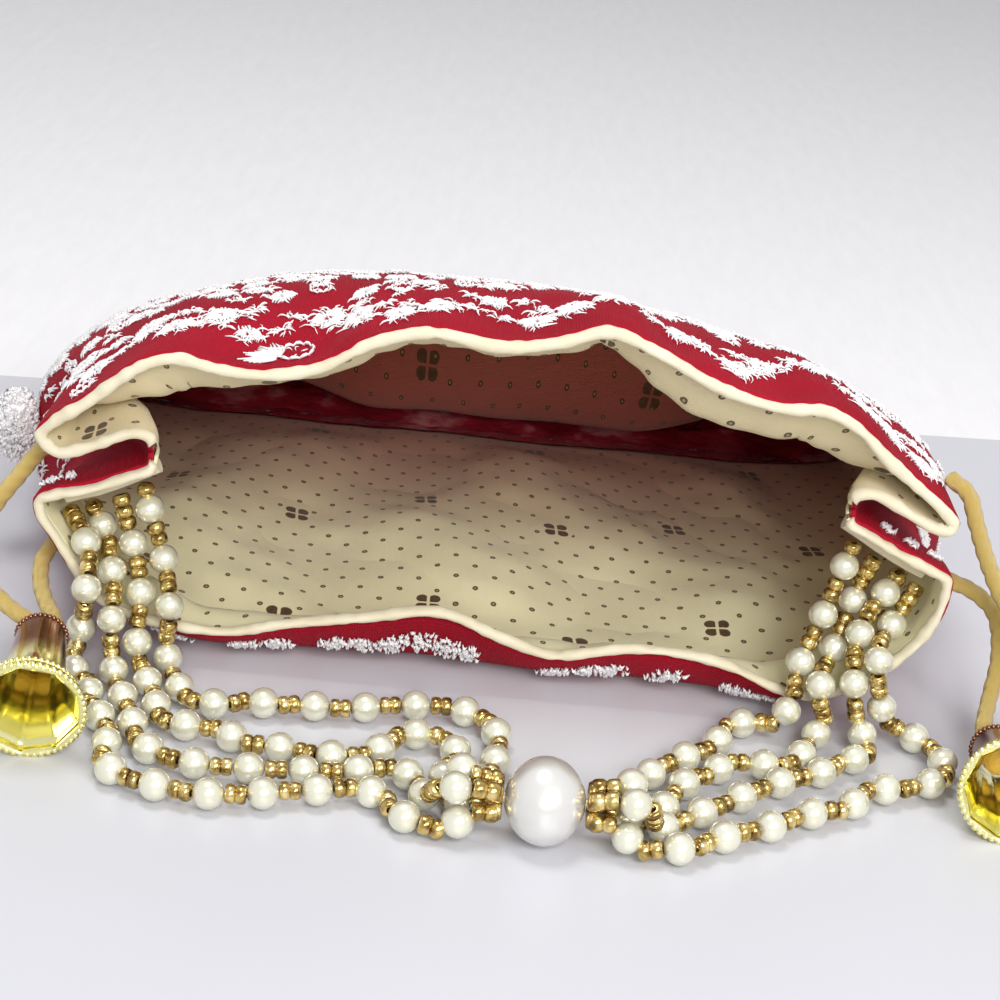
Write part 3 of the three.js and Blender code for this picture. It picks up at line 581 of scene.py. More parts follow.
def lining_depth(is_top, shares, y):
    """How deep under the outer face the lining's back lies: it leaves room for the drawstring."""
    from_end = np.minimum(shares, 1 - shares)
    in_middle = smooth(0.13, 0.22, from_end)
    channel = math.sin(math.pi * y / CASING_DEPTH) ** 2 if y < CASING_DEPTH else 0
    room = (CORD + 4 * LAYER_GAP) * channel * in_middle
    inside = smooth(CASING_DEPTH, 50, y) * (1 - smooth(105, LINING_DEPTH, y)) * in_middle
    wave = 2 if is_top else 2.2 + 1.8 * np.cos(shares * 21 + y / 30)
    corner = 2 * smooth(RUN_Y, CASING_DEPTH, y) * (1 - smooth(60, 90, y)) * (1 - in_middle)
    return CLOTH + LAYER_GAP + room + corner + wave * inside


def ripple(u, v, seed, size, count=7):
    """Smooth random waves about size millimetres apart, from -1 to 1."""
    pick = random.Random(seed)
    total = 0
    for _ in range(count):
        turn = pick.uniform(0, math.pi)
        pitch = FULL_TURN / (size * pick.uniform(0.7, 1.5))
        total = total + np.sin((u * math.cos(turn) + v * math.sin(turn)) * pitch + pick.uniform(0, 6.28))
    return total / count**0.5 / 1.4


# Outer cloth.
COLUMNS = 240
SHARES = np.linspace(0, 1, COLUMNS + 1)
OUTER_ROWS = np.concatenate([[0, 1.2, 2.5], np.arange(4, BAG_DEPTH - 4, 2.5), [BAG_DEPTH - 2, BAG_DEPTH]])


def outer_relief(is_top, u, v):
    """How far the outer cloth stands out, in millimetres: soft puckers behind the rim and creases."""
    near_rim = np.exp(-v / 26)
    calm = smooth(0, 5, v) * (1 - smooth(BAG_DEPTH - 14, BAG_DEPTH, v))
    seed = 1 if is_top else 2
    folds = 0.6 * ripple(u, v * 0.25, seed, 17) * near_rim
    soft = 0.4 * ripple(u, v, seed + 10, 34) + 0.2 * ripple(u, v, seed + 20, 12)
    if not is_top:
        soft = soft * 0.3
    return (folds + soft) * calm


def surface(is_top):
    """The outer face as a fine grid of points, with its normals."""
    rows = []
    for y in OUTER_ROWS:
        u = (SHARES - 0.5) * FLAT_WIDTH
        from_seam = np.minimum(SHARES, 1 - SHARES)
        quiet = 0.8 * smooth(0.1, 0.2, from_seam) + 0.2 * smooth(0, 0.02, from_seam)
        lift = outer_relief(is_top, u, y) * quiet
        if not is_top:
            lift = -np.abs(lift) * (1 - smooth(2, 12, y))
        rows.append(layer(is_top, SHARES, y, -lift))
    grid = np.array(rows)
    grid[:, :, 2] = np.maximum(grid[:, :, 2], 0.02)
    normals = unit(np.cross(np.gradient(grid, axis=0), np.gradient(grid, axis=1)))
    middle = normals[len(OUTER_ROWS) // 2, COLUMNS // 2]
    if (middle[2] > 0) != is_top:
        normals = -normals
    return grid, normals


SURFACES = {is_top: surface(is_top) for is_top in (True, False)}


def on_cloth(is_top, share, y, lift):
    """Points lift millimetres above the outer cloth."""
    grid, normals = SURFACES[is_top]
    share = np.clip(np.asarray(share, dtype=float), 0, 0.9999)
    row = np.interp(np.clip(y, 0, BAG_DEPTH - 0.01), OUTER_ROWS, np.arange(len(OUTER_ROWS)))
    column = share * COLUMNS
    r, c = np.floor(row).astype(int), np.floor(column).astype(int)
    r = np.minimum(r, len(OUTER_ROWS) - 2)
    a, b = (row - r)[:, None], (column - c)[:, None]

    def pick(field):
        low = field[r, c] * (1 - b) + field[r, c + 1] * b
        high = field[r + 1, c] * (1 - b) + field[r + 1, c + 1] * b
        return low * (1 - a) + high * a

    normal = pick(normals)
    return pick(grid) + normal * np.asarray(lift, dtype=float)[:, None]


def shell_faces(rows, columns):
    """Faces of a closed thin shell: an outer grid followed by an inner one, joined round the edge."""
    start = rows * columns
    faces = grid_faces(rows, columns)
    faces += [tuple(reversed(face)) for face in grid_faces(rows, columns, start=start)]
    last = (rows - 1) * columns
    for c in range(columns - 1):
        faces.append((c + 1, c, start + c, start + c + 1))
        faces.append((last + c, last + c + 1, start + last + c + 1, start + last + c))
    for r in range(rows - 1):
        a, b = r * columns, (r + 1) * columns
        faces.append((a, b, start + b, start + a))
        a, b = a + columns - 1, b + columns - 1
        faces.append((b, a, start + a, start + b))
    return faces


def shell(name, outer, inner, depths, material, slot, inside_out=False):
    """A closed sheet between two grids, with its place on the flat cloth in decimetres as UV."""
    rows, columns = outer.shape[:2]
    faces = shell_faces(rows, columns)
    if inside_out:
        faces = [tuple(reversed(face)) for face in faces]
    u = (SHARES - 0.5) * FLAT_WIDTH * 0.01
    uvs = [(across, depth * 0.01) for depth in depths for across in u]
    vertices = np.vstack([outer.reshape(-1, 3), inner.reshape(-1, 3)])
    return make(name, metres(vertices), faces, material, slot, uvs=uvs + uvs)


def outer_panel(is_top):
    """The red cloth, with its inside painted maroon as shade, and its far end turned down to the other panel.
    """
    side = "top" if is_top else "bottom"
    grid, normals = SURFACES[is_top]
    inner = grid - normals * CLOTH
    end = grid[-1:].copy()
    end[:, :, 2] = np.minimum(end[:, :, 2], body_value(3, BAG_DEPTH))
    inner_end = end - [0, CLOTH, 0]
    grid, inner = np.vstack([grid, end]), np.vstack([inner, inner_end])
    piece = shell(side + "_outer_cloth", grid, inner, [*OUTER_ROWS, BAG_DEPTH + 1], RED, "red_cloth")
    # The inner faces get the maroon of painted shade.
    piece.data.materials.append(RED_SATIN_PAINTED_SHADE)
    sheet_faces = (len(grid) - 1) * COLUMNS
    for polygon in piece.data.polygons[sheet_faces : 2 * sheet_faces]:
        polygon.material_index = 1
    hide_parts(side + "_outer_panel")
    return piece


# Lining.
LINING_ROWS = np.concatenate([[0, 1.5, 3, 4.5, 6], np.arange(8, LINING_DEPTH, 2.0), [LINING_DEPTH]])


def lining_relief(is_top, u, v):
    """How far the lining stands into the bag: soft humps, puckers near the rim, and the top
    casing's two bulges."""
    near_end = 1 - smooth(LINING_DEPTH - 8, LINING_DEPTH, v) * 0.7
    behind_casing = smooth(CASING_DEPTH - 4, CASING_DEPTH + 14, v) * near_end
    seed = 5 if is_top else 6
    soft = 2.0 * ripple(u, v * 0.8, seed, 48) + 0.35 * ripple(u, v, seed + 3, 17)
    rim = 0.6 * ripple(u, v * 0.3, seed + 7, 9) * np.exp(-v / 15) * smooth(2, 8, v)
    if is_top:
        right = smooth(18, 42, u) * (1 - smooth(80, 94, u))
        left = smooth(42, 60, -u) * (1 - smooth(80, 92, -u))
        rim = rim + 6 * (right + left) * math.exp(-((v - 15) / 10) ** 2) * smooth(1, 8, v)
    return soft * behind_casing + rim


def sag(points, y, lift):
    """The top lining's far end hangs down to near the bottom one, higher towards both sides."""
    across = points[:, 0]
    end = 8 + 7 * smooth(25, 60, -8 - across) + 8 * smooth(20, 50, across - 10) + lift
    end = end + 1.2 * ripple(across, 0 * across, 61, 22)
    share = smooth(106, LINING_DEPTH, y) * (1 - smooth(78, 96, np.abs(across)))
    points[:, 2] += (np.minimum(end, points[:, 2]) - points[:, 2]) * share
    return points


def lining_panel(is_top):
    """The printed lining, sewn down along a line behind its casing."""
    rows, back = [], []
    for y in LINING_ROWS:
        u = (SHARES - 0.5) * FLAT_WIDTH
        quiet = smooth(0.08, 0.2, np.minimum(SHARES, 1 - SHARES))
        behind = lining_depth(is_top, SHARES, y)
        depth = behind + LINING + lining_relief(is_top, u, y) * quiet
        seam = math.exp(-((y - CASING_DEPTH) / 1.3) ** 2)
        rows.append(layer(is_top, SHARES, y, depth - 0.6 * seam * quiet))
        back.append(layer(is_top, SHARES, y, behind))
        if is_top:
            rows[-1] = sag(rows[-1], y, 0)
            back[-1] = sag(back[-1], y, LINING)
    name = ("top" if is_top else "bottom") + "_lining"
    material = CREAM_ABOVE_PAINTED_GLOW if is_top else CREAM_BELOW_PAINTED_GLOW
    grids = (np.array(rows), np.array(back), LINING_ROWS)
    piece = shell(name + "_cloth", *grids, material, "lining_cloth", inside_out=True)
    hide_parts(name)
    return piece


# Rim roll.
def rim_roll(is_top):
    """The puffy cream roll that closes the cloth and its lining along the rim."""
    shares = np.linspace(0.004, 0.996, 420)
    wall = CLOTH + LAYER_GAP + LINING
    sides = 12
    vertices = []
    u = shares * FLAT_WIDTH
    thick = (1.15 if is_top else 0.95) + 0.2 * ripple(u, 0 * u, 31, 11) + 0.13 * ripple(u, 0 * u, 32, 3.5)
    tall = 1.5 + 0.35 * ripple(u, 0 * u, 33, 16) + 0.15 * ripple(u, 0 * u, 34, 4)
    for k in range(sides):
        turn = FULL_TURN * k / sides
        depth = wall / 2 + 0.35 + thick * math.cos(turn)
        line = layer(is_top, shares, 0, depth)
        line[:, 1] = -0.4 + tall * math.sin(turn)
        vertices.append(line)
    rings = np.array(vertices).transpose(1, 0, 2)
    faces = grid_faces(len(shares), sides, wrap=True) + caps(len(shares), sides)
    side = "top" if is_top else "bottom"
    piece = make(side + "_rim_roll", metres(rings.reshape(-1, 3)), faces, ROLL, "lining_cloth")
    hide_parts(side + "_mouth_binding")


outer_pieces = {is_top: outer_panel(is_top) for is_top in (True, False)}
lining_pieces = {is_top: lining_panel(is_top) for is_top in (True, False)}
for is_top in (True, False):
    rim_roll(is_top)


# Closed end.
END_ROWS = 90
END_COLUMNS = 240


def crumpled_end():
    """Gathered red cloth, painted maroon as shade, that stands behind the lining, from the floor to under the
    crown.
    """
    columns = np.linspace(-92, 80, END_COLUMNS)
    vertices = []
    for t in np.linspace(0, 1, END_ROWS):
        y = LINING_DEPTH + 3 + 30 * math.sin(t * math.pi) ** 0.8
        floor, ceiling = 2.6, body_value(2, y) - 7.5
        arch = 1 - 0.5 * (np.abs(columns + 10) / 88) ** 2.5
        z = floor + (ceiling * arch - floor) * t
        folds = 2.6 * ripple(columns, np.full(END_COLUMNS, t * 60), 41, 21)
        creases = 1.0 * ripple(columns, np.full(END_COLUMNS, t * 60), 42, 8)
        crumple = (folds + creases) * (0.25 + 0.75 * smooth(0, 0.25, t))
        z = np.maximum(z + crumple * 0.5, 2.3)
        vertices.append(np.stack([columns, y + crumple * 1.3, z], axis=1))
    faces = grid_faces(END_ROWS, END_COLUMNS)
    make("closed_end_folds", metres(np.vstack(vertices)), faces, RED_SATIN_PAINTED_SHADE, "red_cloth")


crumpled_end()


# Embroidery. A stitch is (u, v, u, v, radius, arch, bow): its two ends in millimetres on the flat
# cloth, its thickness, and how far its middle stands off the cloth and to the side.
STITCH_RINGS = 4
STITCH_SIDES = 3
STITCH_TAPER = (0.6, 1.1, 1.0, 0.45)


def away(u, v, turn, far):
    """The place that far from another in a direction."""
    return u + far * math.cos(turn), v + far * math.sin(turn)


def spray(threads, u, v, reach, count, radius):
    """Loose fluff: short threads in every direction round a place."""
    for _ in range(count):
        turn = rng.uniform(0, FULL_TURN)
        start = rng.uniform(0, reach)
        far = start + rng.uniform(0.9, 2.2)
        lean = turn + rng.uniform(-0.9, 0.9)
        ends = (*away(u, v, turn, start), *away(u, v, lean, far))
        threads.append((*ends, radius, rng.uniform(0.15, 0.5), rng.uniform(-0.5, 0.5)))


def petal(threads, u, v, turn, length, width):
    """A petal of long stitches from its root, with two bowed ones for its edges."""
    ux, vx = math.cos(turn), math.sin(turn)
    for k in range(5):
        t = (k - 2) / 2
        far = length * (1 - 0.3 * t * t) * rng.uniform(0.9, 1.1)
        side = t * width * 0.42
        a = (u + ux * 0.8 - vx * side * 0.25, v + vx * 0.8 + ux * side * 0.25)
        b = (u + ux * far - vx * side, v + vx * far + ux * side)
        threads.append((*a, *b, rng.uniform(0.26, 0.36), rng.uniform(0.25, 0.5), t * 0.7))


def flower(threads, u, v, size):
    """Five to seven petals with fluff over their middle."""
    count = rng.choice((5, 6, 6, 7))
    first = rng.uniform(0, FULL_TURN)
    for k in range(count):
        length = size * rng.uniform(0.75, 1.05)
        petal(threads, u, v, first + FULL_TURN * k / count, length, size * 0.8)
    spray(threads, u, v, size * 0.9, 16, 0.2)


def ring(threads, u, v, size, radius=0.3):
    """An open ring of overlapping stitches."""
    steps = 10
    for k in range(steps):
        one, two = FULL_TURN * k / steps, FULL_TURN * (k + 1.2) / steps
        ends = (*away(u, v, one, size), *away(u, v, two, size))
        threads.append((*ends, radius, 0.5, -0.15 * size))
    spray(threads, u, v, size, 5, 0.14)


def scroll(threads, u, v, turn, length, curl):
    """A curling stem of overlapping stitches with a small bud at its end."""
    step = 1.7
    for _ in range(int(length / step)):
        threads.append((u, v, *away(u, v, turn, step + 0.5), 0.27, 0.42, 0.1))
        u, v = away(u, v, turn, step)
        turn += curl * step
    spray(threads, u, v, 1.3, 14, 0.18)


# Places in millimetres on the flat cloth: the flowers behind the top rim as (u, v, size), the tufts
# along the bottom lip as u, and the smaller ones at the mouths of the two tucks.
RIM_CLUMPS = [
    (-108, 7, 3), (-100, 6, 2.6), (108, 6, 2.6), (-95, 14, 4), (-88, 20, 4), (-82, 13, 3.4),
    (-72, 19, 4), (-64, 13, 3.4), (-57, 19, 3.8), (-50, 13, 3), (-36, 18, 4), (-29, 14, 3.8),
    (-20, 9, 3.6), (-13, 11, 3.4), (-3, 19, 3), (5, 9, 3.6), (12, 12, 3.8), (20, 19, 3.4),
    (33, 13, 3), (44, 9, 3.4), (50, 15, 3.2), (61, 19, 3.4), (70, 11, 3.6), (79, 16, 3.6),
    (85, 9, 3.4), (93, 17, 4),
]
LIP_CLUMPS = (
    -88, -80, -74, -52, -47, -34, -24, -19, -13, 4, 8, 13, 18, 24, 29, 40, 46, 59, 66, 80, 90,
)
TUCK_CLUMPS = (100.5, 97, -99, -104, -109)
BOW = (-42.5, 5.0)
BOW_TURNS = (2.0, 2.45, 2.9, 3.3)
PITCH_U = 15.5
PITCH_V = 13.5
FIRST_ROW = 32


def pattern(is_top):
    """All stitches of a panel. The bottom one has none where it lies on the table."""
    threads = []
    for row in range(11):
        for column in range(-8, 9):
            u = column * PITCH_U + (PITCH_U / 2 if row % 2 else 0) + rng.uniform(-2, 2)
            v = FIRST_ROW + row * PITCH_V + 4 * math.sin(u / 17 + row) + rng.uniform(-3, 3)
            flower(threads, u, v, rng.uniform(3.2, 4.3))
            ring(threads, u + PITCH_U / 2, v + rng.uniform(-1.5, 1.5), rng.uniform(1.3, 2.0))
            for turn in (rng.uniform(0, 3), rng.uniform(-3, 0)):
                start = turn + rng.uniform(-0.3, 0.3)
                place = away(u, v, start, 4.4)
                scroll(threads, *place, start, rng.uniform(3, 6), rng.choice((-0.28, 0.28)))
    if is_top:
        for u, v, size in RIM_CLUMPS:
            flower(threads, u, v, size)
            spray(threads, u, v, size, 22, 0.15)
            for turn in (0.3, 2.9):
                start = u + size * math.cos(turn)
                scroll(threads, start, v + 1, turn, rng.uniform(2, 5), rng.choice((-0.2, 0.2)))
        for turn in BOW_TURNS:
            petal(threads, *BOW, turn, 7.0, 2.2)
            petal(threads, *BOW, turn + 0.2, 5.5, 1.8)
        ring(threads, -40, 6.8, 3.0, 0.34)
        ring(threads, -82, 5.8, 2.2, 0.34)
    else:
        for u in LIP_CLUMPS + TUCK_CLUMPS:
            v = rng.uniform(4.0, 5.0)
            count, reach = (24, 1.3) if u in TUCK_CLUMPS else (60, 2.4)
            for _ in range(count):
                turn, far = rng.uniform(0, FULL_TURN), rng.uniform(0, reach)
                a = (u + 1.25 * far * math.cos(turn), v + 1.2 * far * math.sin(turn))
                b = (a[0] + rng.uniform(-1.1, 1.1), a[1] + rng.uniform(-0.8, 0.8))
                threads.append((*a, *b, rng.uniform(0.3, 0.42), rng.uniform(0.4, 0.8), 0.2))
    threads = np.array(threads)
    low_u = np.minimum(threads[:, 0], threads[:, 2])
    high_u = np.maximum(threads[:, 0], threads[:, 2])
    low_v = np.minimum(threads[:, 1], threads[:, 3])
    high_v = np.maximum(threads[:, 1], threads[:, 3])
    keep = (low_u > 2 - FLAT_WIDTH / 2) & (high_u < FLAT_WIDTH / 2 - 2)
    keep &= (low_v > 2.2) & (high_v < BAG_DEPTH - 3)
    if not is_top:
        keep &= (low_v < 34) | (np.abs(threads[:, 0]) > 0.37 * FLAT_WIDTH)
    return threads[keep]


def stitch(name, is_top, threads):
    """Makes each stitch a thin bowed tube that arches off the outer cloth."""
    count = len(threads)
    start, stop = threads[:, 0:2], threads[:, 2:4]
    radius, arch, bow = threads[:, 4], threads[:, 5], threads[:, 6]
    run = stop - start
    sideways = unit(np.stack([-run[:, 1], run[:, 0]], axis=1))
    lines = []
    for t in np.linspace(0, 1, STITCH_RINGS):
        hump = 4 * t * (1 - t)
        place = start + run * t + sideways * (bow * hump)[:, None]
        lines.append(on_cloth(is_top, place[:, 0] / FLAT_WIDTH + 0.5, place[:, 1], 0.1 + arch * hump))
    lines = np.array(lines).transpose(1, 0, 2)
    along = unit(lines[:, -1] - lines[:, 0])
    root = (is_top, start[:, 0] / FLAT_WIDTH + 0.5, start[:, 1])
    up = on_cloth(*root, np.ones(count)) - on_cloth(*root, np.zeros(count))
    side = unit(np.cross(along, up))
    vertices = np.empty((count, STITCH_RINGS, STITCH_SIDES, 3))
    for j, grow in enumerate(STITCH_TAPER):
        r = (radius * grow)[:, None]
        for k in range(STITCH_SIDES):
            turn = math.pi / 2 + FULL_TURN * k / STITCH_SIDES
            vertices[:, j, k] = lines[:, j] + side * r * math.cos(turn) + up * r * math.sin(turn)
    one = np.array(grid_faces(STITCH_RINGS, STITCH_SIDES, wrap=True))
    starts = np.arange(count) * STITCH_RINGS * STITCH_SIDES
    faces = (one[None] + starts[:, None, None]).reshape(-1, 4)
    flat = vertices.reshape(-1, 3)
    flat[:, 2] = np.maximum(flat[:, 2], 0.0)
    make(name, metres(flat), faces, WHITE, "white_thread")


def embroidery():
    """The top panel's stitches are two pieces, so that neither is too large."""
    top = pattern(True)
    near = top[:, 1] < 75
    stitch("top_embroidery_front", True, top[near])
    stitch("top_embroidery_back", True, top[~near])
    stitch("bottom_embroidery", False, pattern(False))


embroidery()


# Bells.
BELL_LENGTH = 25
BELL_RADIUS = 10.2
BELL_NECK_RADIUS = CORD + 1.3
FACET = FULL_TURN / 9
FACETS_FROM = 5
BELL_WALL = 0.7
# Each bell as the middle of its mouth and the way it points
BELLS = {
    "left": ((-81.2, -40.9, BELL_RADIUS), (3.4, -24.4, -2.4)),
    "right": ((99, -36, BELL_RADIUS), (-1.5, -24.4, 5.2)),
}
BELL_FORM = [
    (0, 0), (0.03, 0.12), (0.1, 0.32), (0.24, 0.55), (0.5, 0.76), (0.84, 0.9), (1, 0.95), (1, 1),
]
# Its rings of small beads, as place along the bell, size of a bead and radius of the ring
BELL_BEADS = (
    (0.5, 0.5, BELL_NECK_RADIUS),
    (21.6, 0.62, 9.0),
    (24.6, 0.72, BELL_RADIUS - 0.25),
)


def bell_frame(side):
    """The way a bell points, the middle of its neck, and two directions across it."""
    mouth, towards = BELLS[side]
    forward = unit(towards)
    neck = np.array(mouth) - forward * BELL_LENGTH
    level = unit([forward[1], -forward[0], 0])
    return forward, neck, level, np.cross(forward, level)


def bell(side):
    """A thin bell with a bead at every step of its rims, round outside and faceted inside."""
    forward, neck, level, third = bell_frame(side)
    form = spline(BELL_FORM, 30)
    radius = BELL_NECK_RADIUS + form[:, 0] * (BELL_RADIUS - BELL_NECK_RADIUS)
    outside = list(zip(radius, form[:, 1] * BELL_LENGTH))
    inside = [(max(r - BELL_WALL, 0.5), d + 0.1) for r, d in reversed(outside)]
    profile = [*outside, (BELL_RADIUS - 0.5, BELL_LENGTH + 0.15), *inside]
    segments = 72
    turns = np.linspace(0, FULL_TURN, segments, endpoint=False)
    flat_sides = math.cos(FACET / 2) / np.cos(turns % FACET - FACET / 2)
    vertices, uvs = [], []
    for j, (r, d) in enumerate(profile):
        inner = j > len(outside)
        reach = r * flat_sides if inner and d > FACETS_FROM else r
        vertices.extend(circle(neck + forward * d, level, third, reach, segments))
        uvs.extend((turn, 1.0 if inner else d / BELL_LENGTH) for turn in turns)
    shell = Many()
    shell.add(vertices, grid_faces(len(profile), segments, wrap=True), uvs)
    for at, size, reach in BELL_BEADS:
        count = int(FULL_TURN * reach / (size * 1.75))
        for centre in circle(neck + forward * at, level, third, reach, count):
            vertices, faces = ball(centre, size, 8, 6)
            shell.add(vertices, faces, [(0, at / BELL_LENGTH)] * len(vertices))
    piece = shell.make(side + "_bell_shell", GOLD, "gold", side + "_bell")
    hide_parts(side + "_bell")


def ball(centre, radius, around, high, axis=(0, 0, 1.0), stretch=1.0):
    """Vertices and faces of a round bead, with its poles on axis."""
    axis = unit(axis)
    side = unit(np.cross(axis, [0.31, 0.95, 0.05]))
    third = np.cross(axis, side)
    vertices = [centre - axis * radius * stretch]
    for j in range(1, high):
        turn = math.pi * j / high
        middle = centre - axis * math.cos(turn) * radius * stretch
        vertices.extend(circle(middle, side, third, radius * math.sin(turn), around))
    vertices.append(centre + axis * radius * stretch)
    faces = [(0, 1 + (k + 1) % around, 1 + k) for k in range(around)]
    faces += grid_faces(high - 1, around, wrap=True, start=1)
    top = len(vertices) - 1
    first = 1 + (high - 2) * around
    faces += [(top, first + k, first + (k + 1) % around) for k in range(around)]
    return vertices, faces


for side in ("left", "right"):
    bell(side)


# Drawstring.
CORD_ROUTES = {
    "left_upper": [
        (-86.2, 10, 42), (-90, 8, 40.8), (-94.5, 5, 35.3), (-98, 1.5, 30.5), (-100.5, -2.5, 24.5),
        (-98, -7, 18.5), (-92.5, -10.5, 14.8),
    ],
    "left_lower": [
        (-87.1, 8, 21.5), (-89.3, 4.5, 18.5), (-88.8, 0, 15.5), (-86.5, -5, 13.5), (-84, -9.5, 12.8),
    ],
    "right_upper": [
        (86.8, 10, 52), (90.2, 6.5, 50.3), (92.2, 4.5, 45.5), (94.8, 3, 39.5), (98.5, 1.5, 32.5),
        (103, 0.5, 26), (106, -1, 18), (105.5, -3.5, 10), (103.4, -6.5, 6.6),
    ],
    "right_lower": [
        (90, 10, 30.2), (95.5, 8, 28.8), (100, 7, 25), (102, 5, 17), (101, 1.5, 9.5), (99.2, -5, 5.8),
    ],
}
TWIST = FULL_TURN / 9
CORD_STEP = 0.55
CORD_SIDES = 18
GROOVE = 0.22


def cord(name):
    """A twisted three-ply cord along its route, into the neck of its bell."""
    side, place = name.split("_")
    forward, neck, level, _ = bell_frame(side)
    apart = (CORD + CLEARANCE) / 2
    offset = apart if name in ("left_upper", "right_lower") else -apart
    route = [np.array(p, dtype=float) for p in CORD_ROUTES[name]]
    route += [neck + level * offset + forward * depth for depth in (-3, 0, 3)]
    rough = spline(route, 40)
    length = np.linalg.norm(np.diff(rough, axis=0), axis=1).sum()
    path = spline(route, int(length / CORD_STEP))
    turns = np.linspace(0, FULL_TURN, CORD_SIDES, endpoint=False)
    vertices, uvs = [], []
    for i, (point, up, third) in enumerate(frames(path)):
        lay = turns - i * CORD_STEP * TWIST
        radius = CORD / 2 * (1 - GROOVE + GROOVE * np.abs(np.sin(1.5 * lay)) ** 0.6)
        vertices.extend(circle(point, up, third, radius, CORD_SIDES))
        uvs.extend((i * CORD_STEP * 0.1, angle / FULL_TURN) for angle in lay)
    faces = grid_faces(len(path), CORD_SIDES, wrap=True) + caps(len(path), CORD_SIDES)
    piece = make(side + "_drawstring_" + place, metres(vertices), faces, SATIN, "cord", uvs=uvs)
    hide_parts(side + "_cord_" + place)
    centreline = metres(spline(route, 36))


for cord_name in CORD_ROUTES:
    cord(cord_name)
dress(("top_drawstring_run", "bottom_drawstring_run", "left_cord_knot", "right_cord_knot"), SATIN)


# Handle. The solids' pearls are their rings wider than the last value, which is in metres.
SEED_PITCH = 2.15
PEARL_RING = 0.0025


def strand_rings(node):
    """The solids' strand as rings of points in order: the first and last are single points."""
    mesh = nodes[node].data
    places = {}
    numbers = []
    for vertex in mesh.vertices:
        key = tuple(round(c, 6) for c in vertex.co)
        numbers.append(places.setdefault(key, len(places)))
    points = np.array(list(places))
    near = [set() for _ in points]
    for edge in mesh.edges:
        a, b = (numbers[i] for i in edge.vertices)
        near[a].add(b)
        near[b].add(a)
    tips = [i for i, n in enumerate(near) if len(n) == 6 and all(len(near[j]) == 5 for j in n)]
    assert len(tips) == 2, (node, tips)
    rings = [[tips[0]], sorted(near[tips[0]])]
    seen = {tips[0], *rings[1]}
    while True:
        following = sorted(set().union(*(near[i] for i in rings[-1])) - seen)
        if not following:
            break
        seen.update(following)
        rings.append(following)
    return [points[ring] for ring in rings]


def strand(node):
    """A strand's pearls where the solid has them, and as many seed beads as fit between them."""
    rings = strand_rings(node)
    centres = np.array([ring.mean(axis=0) for ring in rings])
    radii = np.array([np.linalg.norm(ring - ring.mean(axis=0), axis=1).mean() for ring in rings])
    big = np.where(radii > PEARL_RING)[0]
    pearls = [(centres[i], centres[i + 1]) for i in big if i + 1 in big]
    middles = np.array([(a + b) / 2 for a, b in pearls]) * 1000
    forwards = unit([b - a for a, b in pearls])
    ends = centres[[1, -2]] * 1000
    if np.linalg.norm(ends[0] - middles[0]) > np.linalg.norm(ends[1] - middles[0]):
        ends = ends[::-1]
    shift = np.array([0, REST_Y, 0])
    pearl_mesh, seed_mesh = Many(), Many()
    for centre, forward in zip(middles, forwards):
        size = PEARL / 2 * rng.uniform(0.97, 1.02)
        pearl_mesh.add(*ball(centre + shift, size, 20, 14, forward, rng.uniform(0.96, 1.0)))
    stops = [ends[0], *middles, ends[1]]
    for j in range(len(stops) - 1):
        first, last = stops[j], stops[j + 1]
        a = first + forwards[j - 1] * PEARL / 2 if j > 0 else first
        b = last - forwards[j] * PEARL / 2 if j < len(middles) else last
        gap = np.linalg.norm(b - a)
        count = max(1, round(gap / SEED_PITCH))
        for k in range(count):
            centre = a + (b - a) * (k + 0.5) / count
            seed(seed_mesh, centre + shift, (b - a) / gap, gap / count * 0.97, rng.uniform(0.94, 1.04))
    pearls_piece = pearl_mesh.make(node + "_pearls", PEARL_LOOK, "pearl")
    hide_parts(node)
    seed_mesh.make(node + "_seeds", SEED_LOOK, "beads")


def seed(target, centre, axis, length, grow):
    """A short gold-lined bead with a hole and round edges."""
    side = unit(np.cross(axis, [0.2, 0.3, 0.93]))
    third = np.cross(axis, side)
    outer = SEED / 2 * grow
    profile = [(0.4, -0.5), (0.8, -0.5), (0.97, -0.3), (1, 0), (0.97, 0.3), (0.8, 0.5), (0.4, 0.5)]
    around = 14
    vertices = []
    for r, t in profile:
        vertices.extend(circle(centre + axis * t * length, side, third, outer * r, around))
    target.add(vertices, grid_faces(len(profile), around, wrap=True))


for side in ("left", "right"):
    for number in (1, 2, 3, 4):
        strand(f"{side}_strand_{number}")

BIG_PEARL_LENGTH = 14.5
BIG_PEARL_RADIUS = 8.0
BIG_PEARL_BORE = 1.3
END_SEEDS_AT = 8.45
END_SEEDS_RADIUS = 2.6


def big_pearl():
    """The drilled centre pearl, and gold seed beads on the thread at both its sides."""
    centre, _ = middle_and_radii("centre_pearl")
    across, up = np.array([0, 1.0, 0]), np.array([0, 0, 1.0])
    around, steps = 64, 40
    vertices = []
    for j in range(steps + 1):
        turn = math.pi * j / steps
        middle = centre - [math.cos(turn) * BIG_PEARL_LENGTH / 2, 0, 0]
        radius = max(BIG_PEARL_BORE, BIG_PEARL_RADIUS * math.sin(turn))
        vertices.extend(circle(middle, across, up, radius, around))
    faces = grid_faces(steps + 1, around, wrap=True)
    piece = make("big_pearl", metres(vertices), faces, BIG_PEARL_LOOK, "pearl", "centre_pearl")
    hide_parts("centre_pearl")
    beads = Many()
    for side in (-1, 1):
        for k in range(4):
            turn = math.pi * (k / 2 + 0.25)
            out = (across * math.cos(turn) + up * math.sin(turn)) * END_SEEDS_RADIUS
            seed(beads, centre + [side * END_SEEDS_AT, 0, 0] + out, np.array([1.0, 0, 0]), 2.0, 0.98)
    beads.make("pearl_end_seeds", SEED_LOOK, "beads")


big_pearl()
dress(("handle_anchor_left", "handle_anchor_right"), ROLL)
dress(("core_thread",), SEED_LOOK)


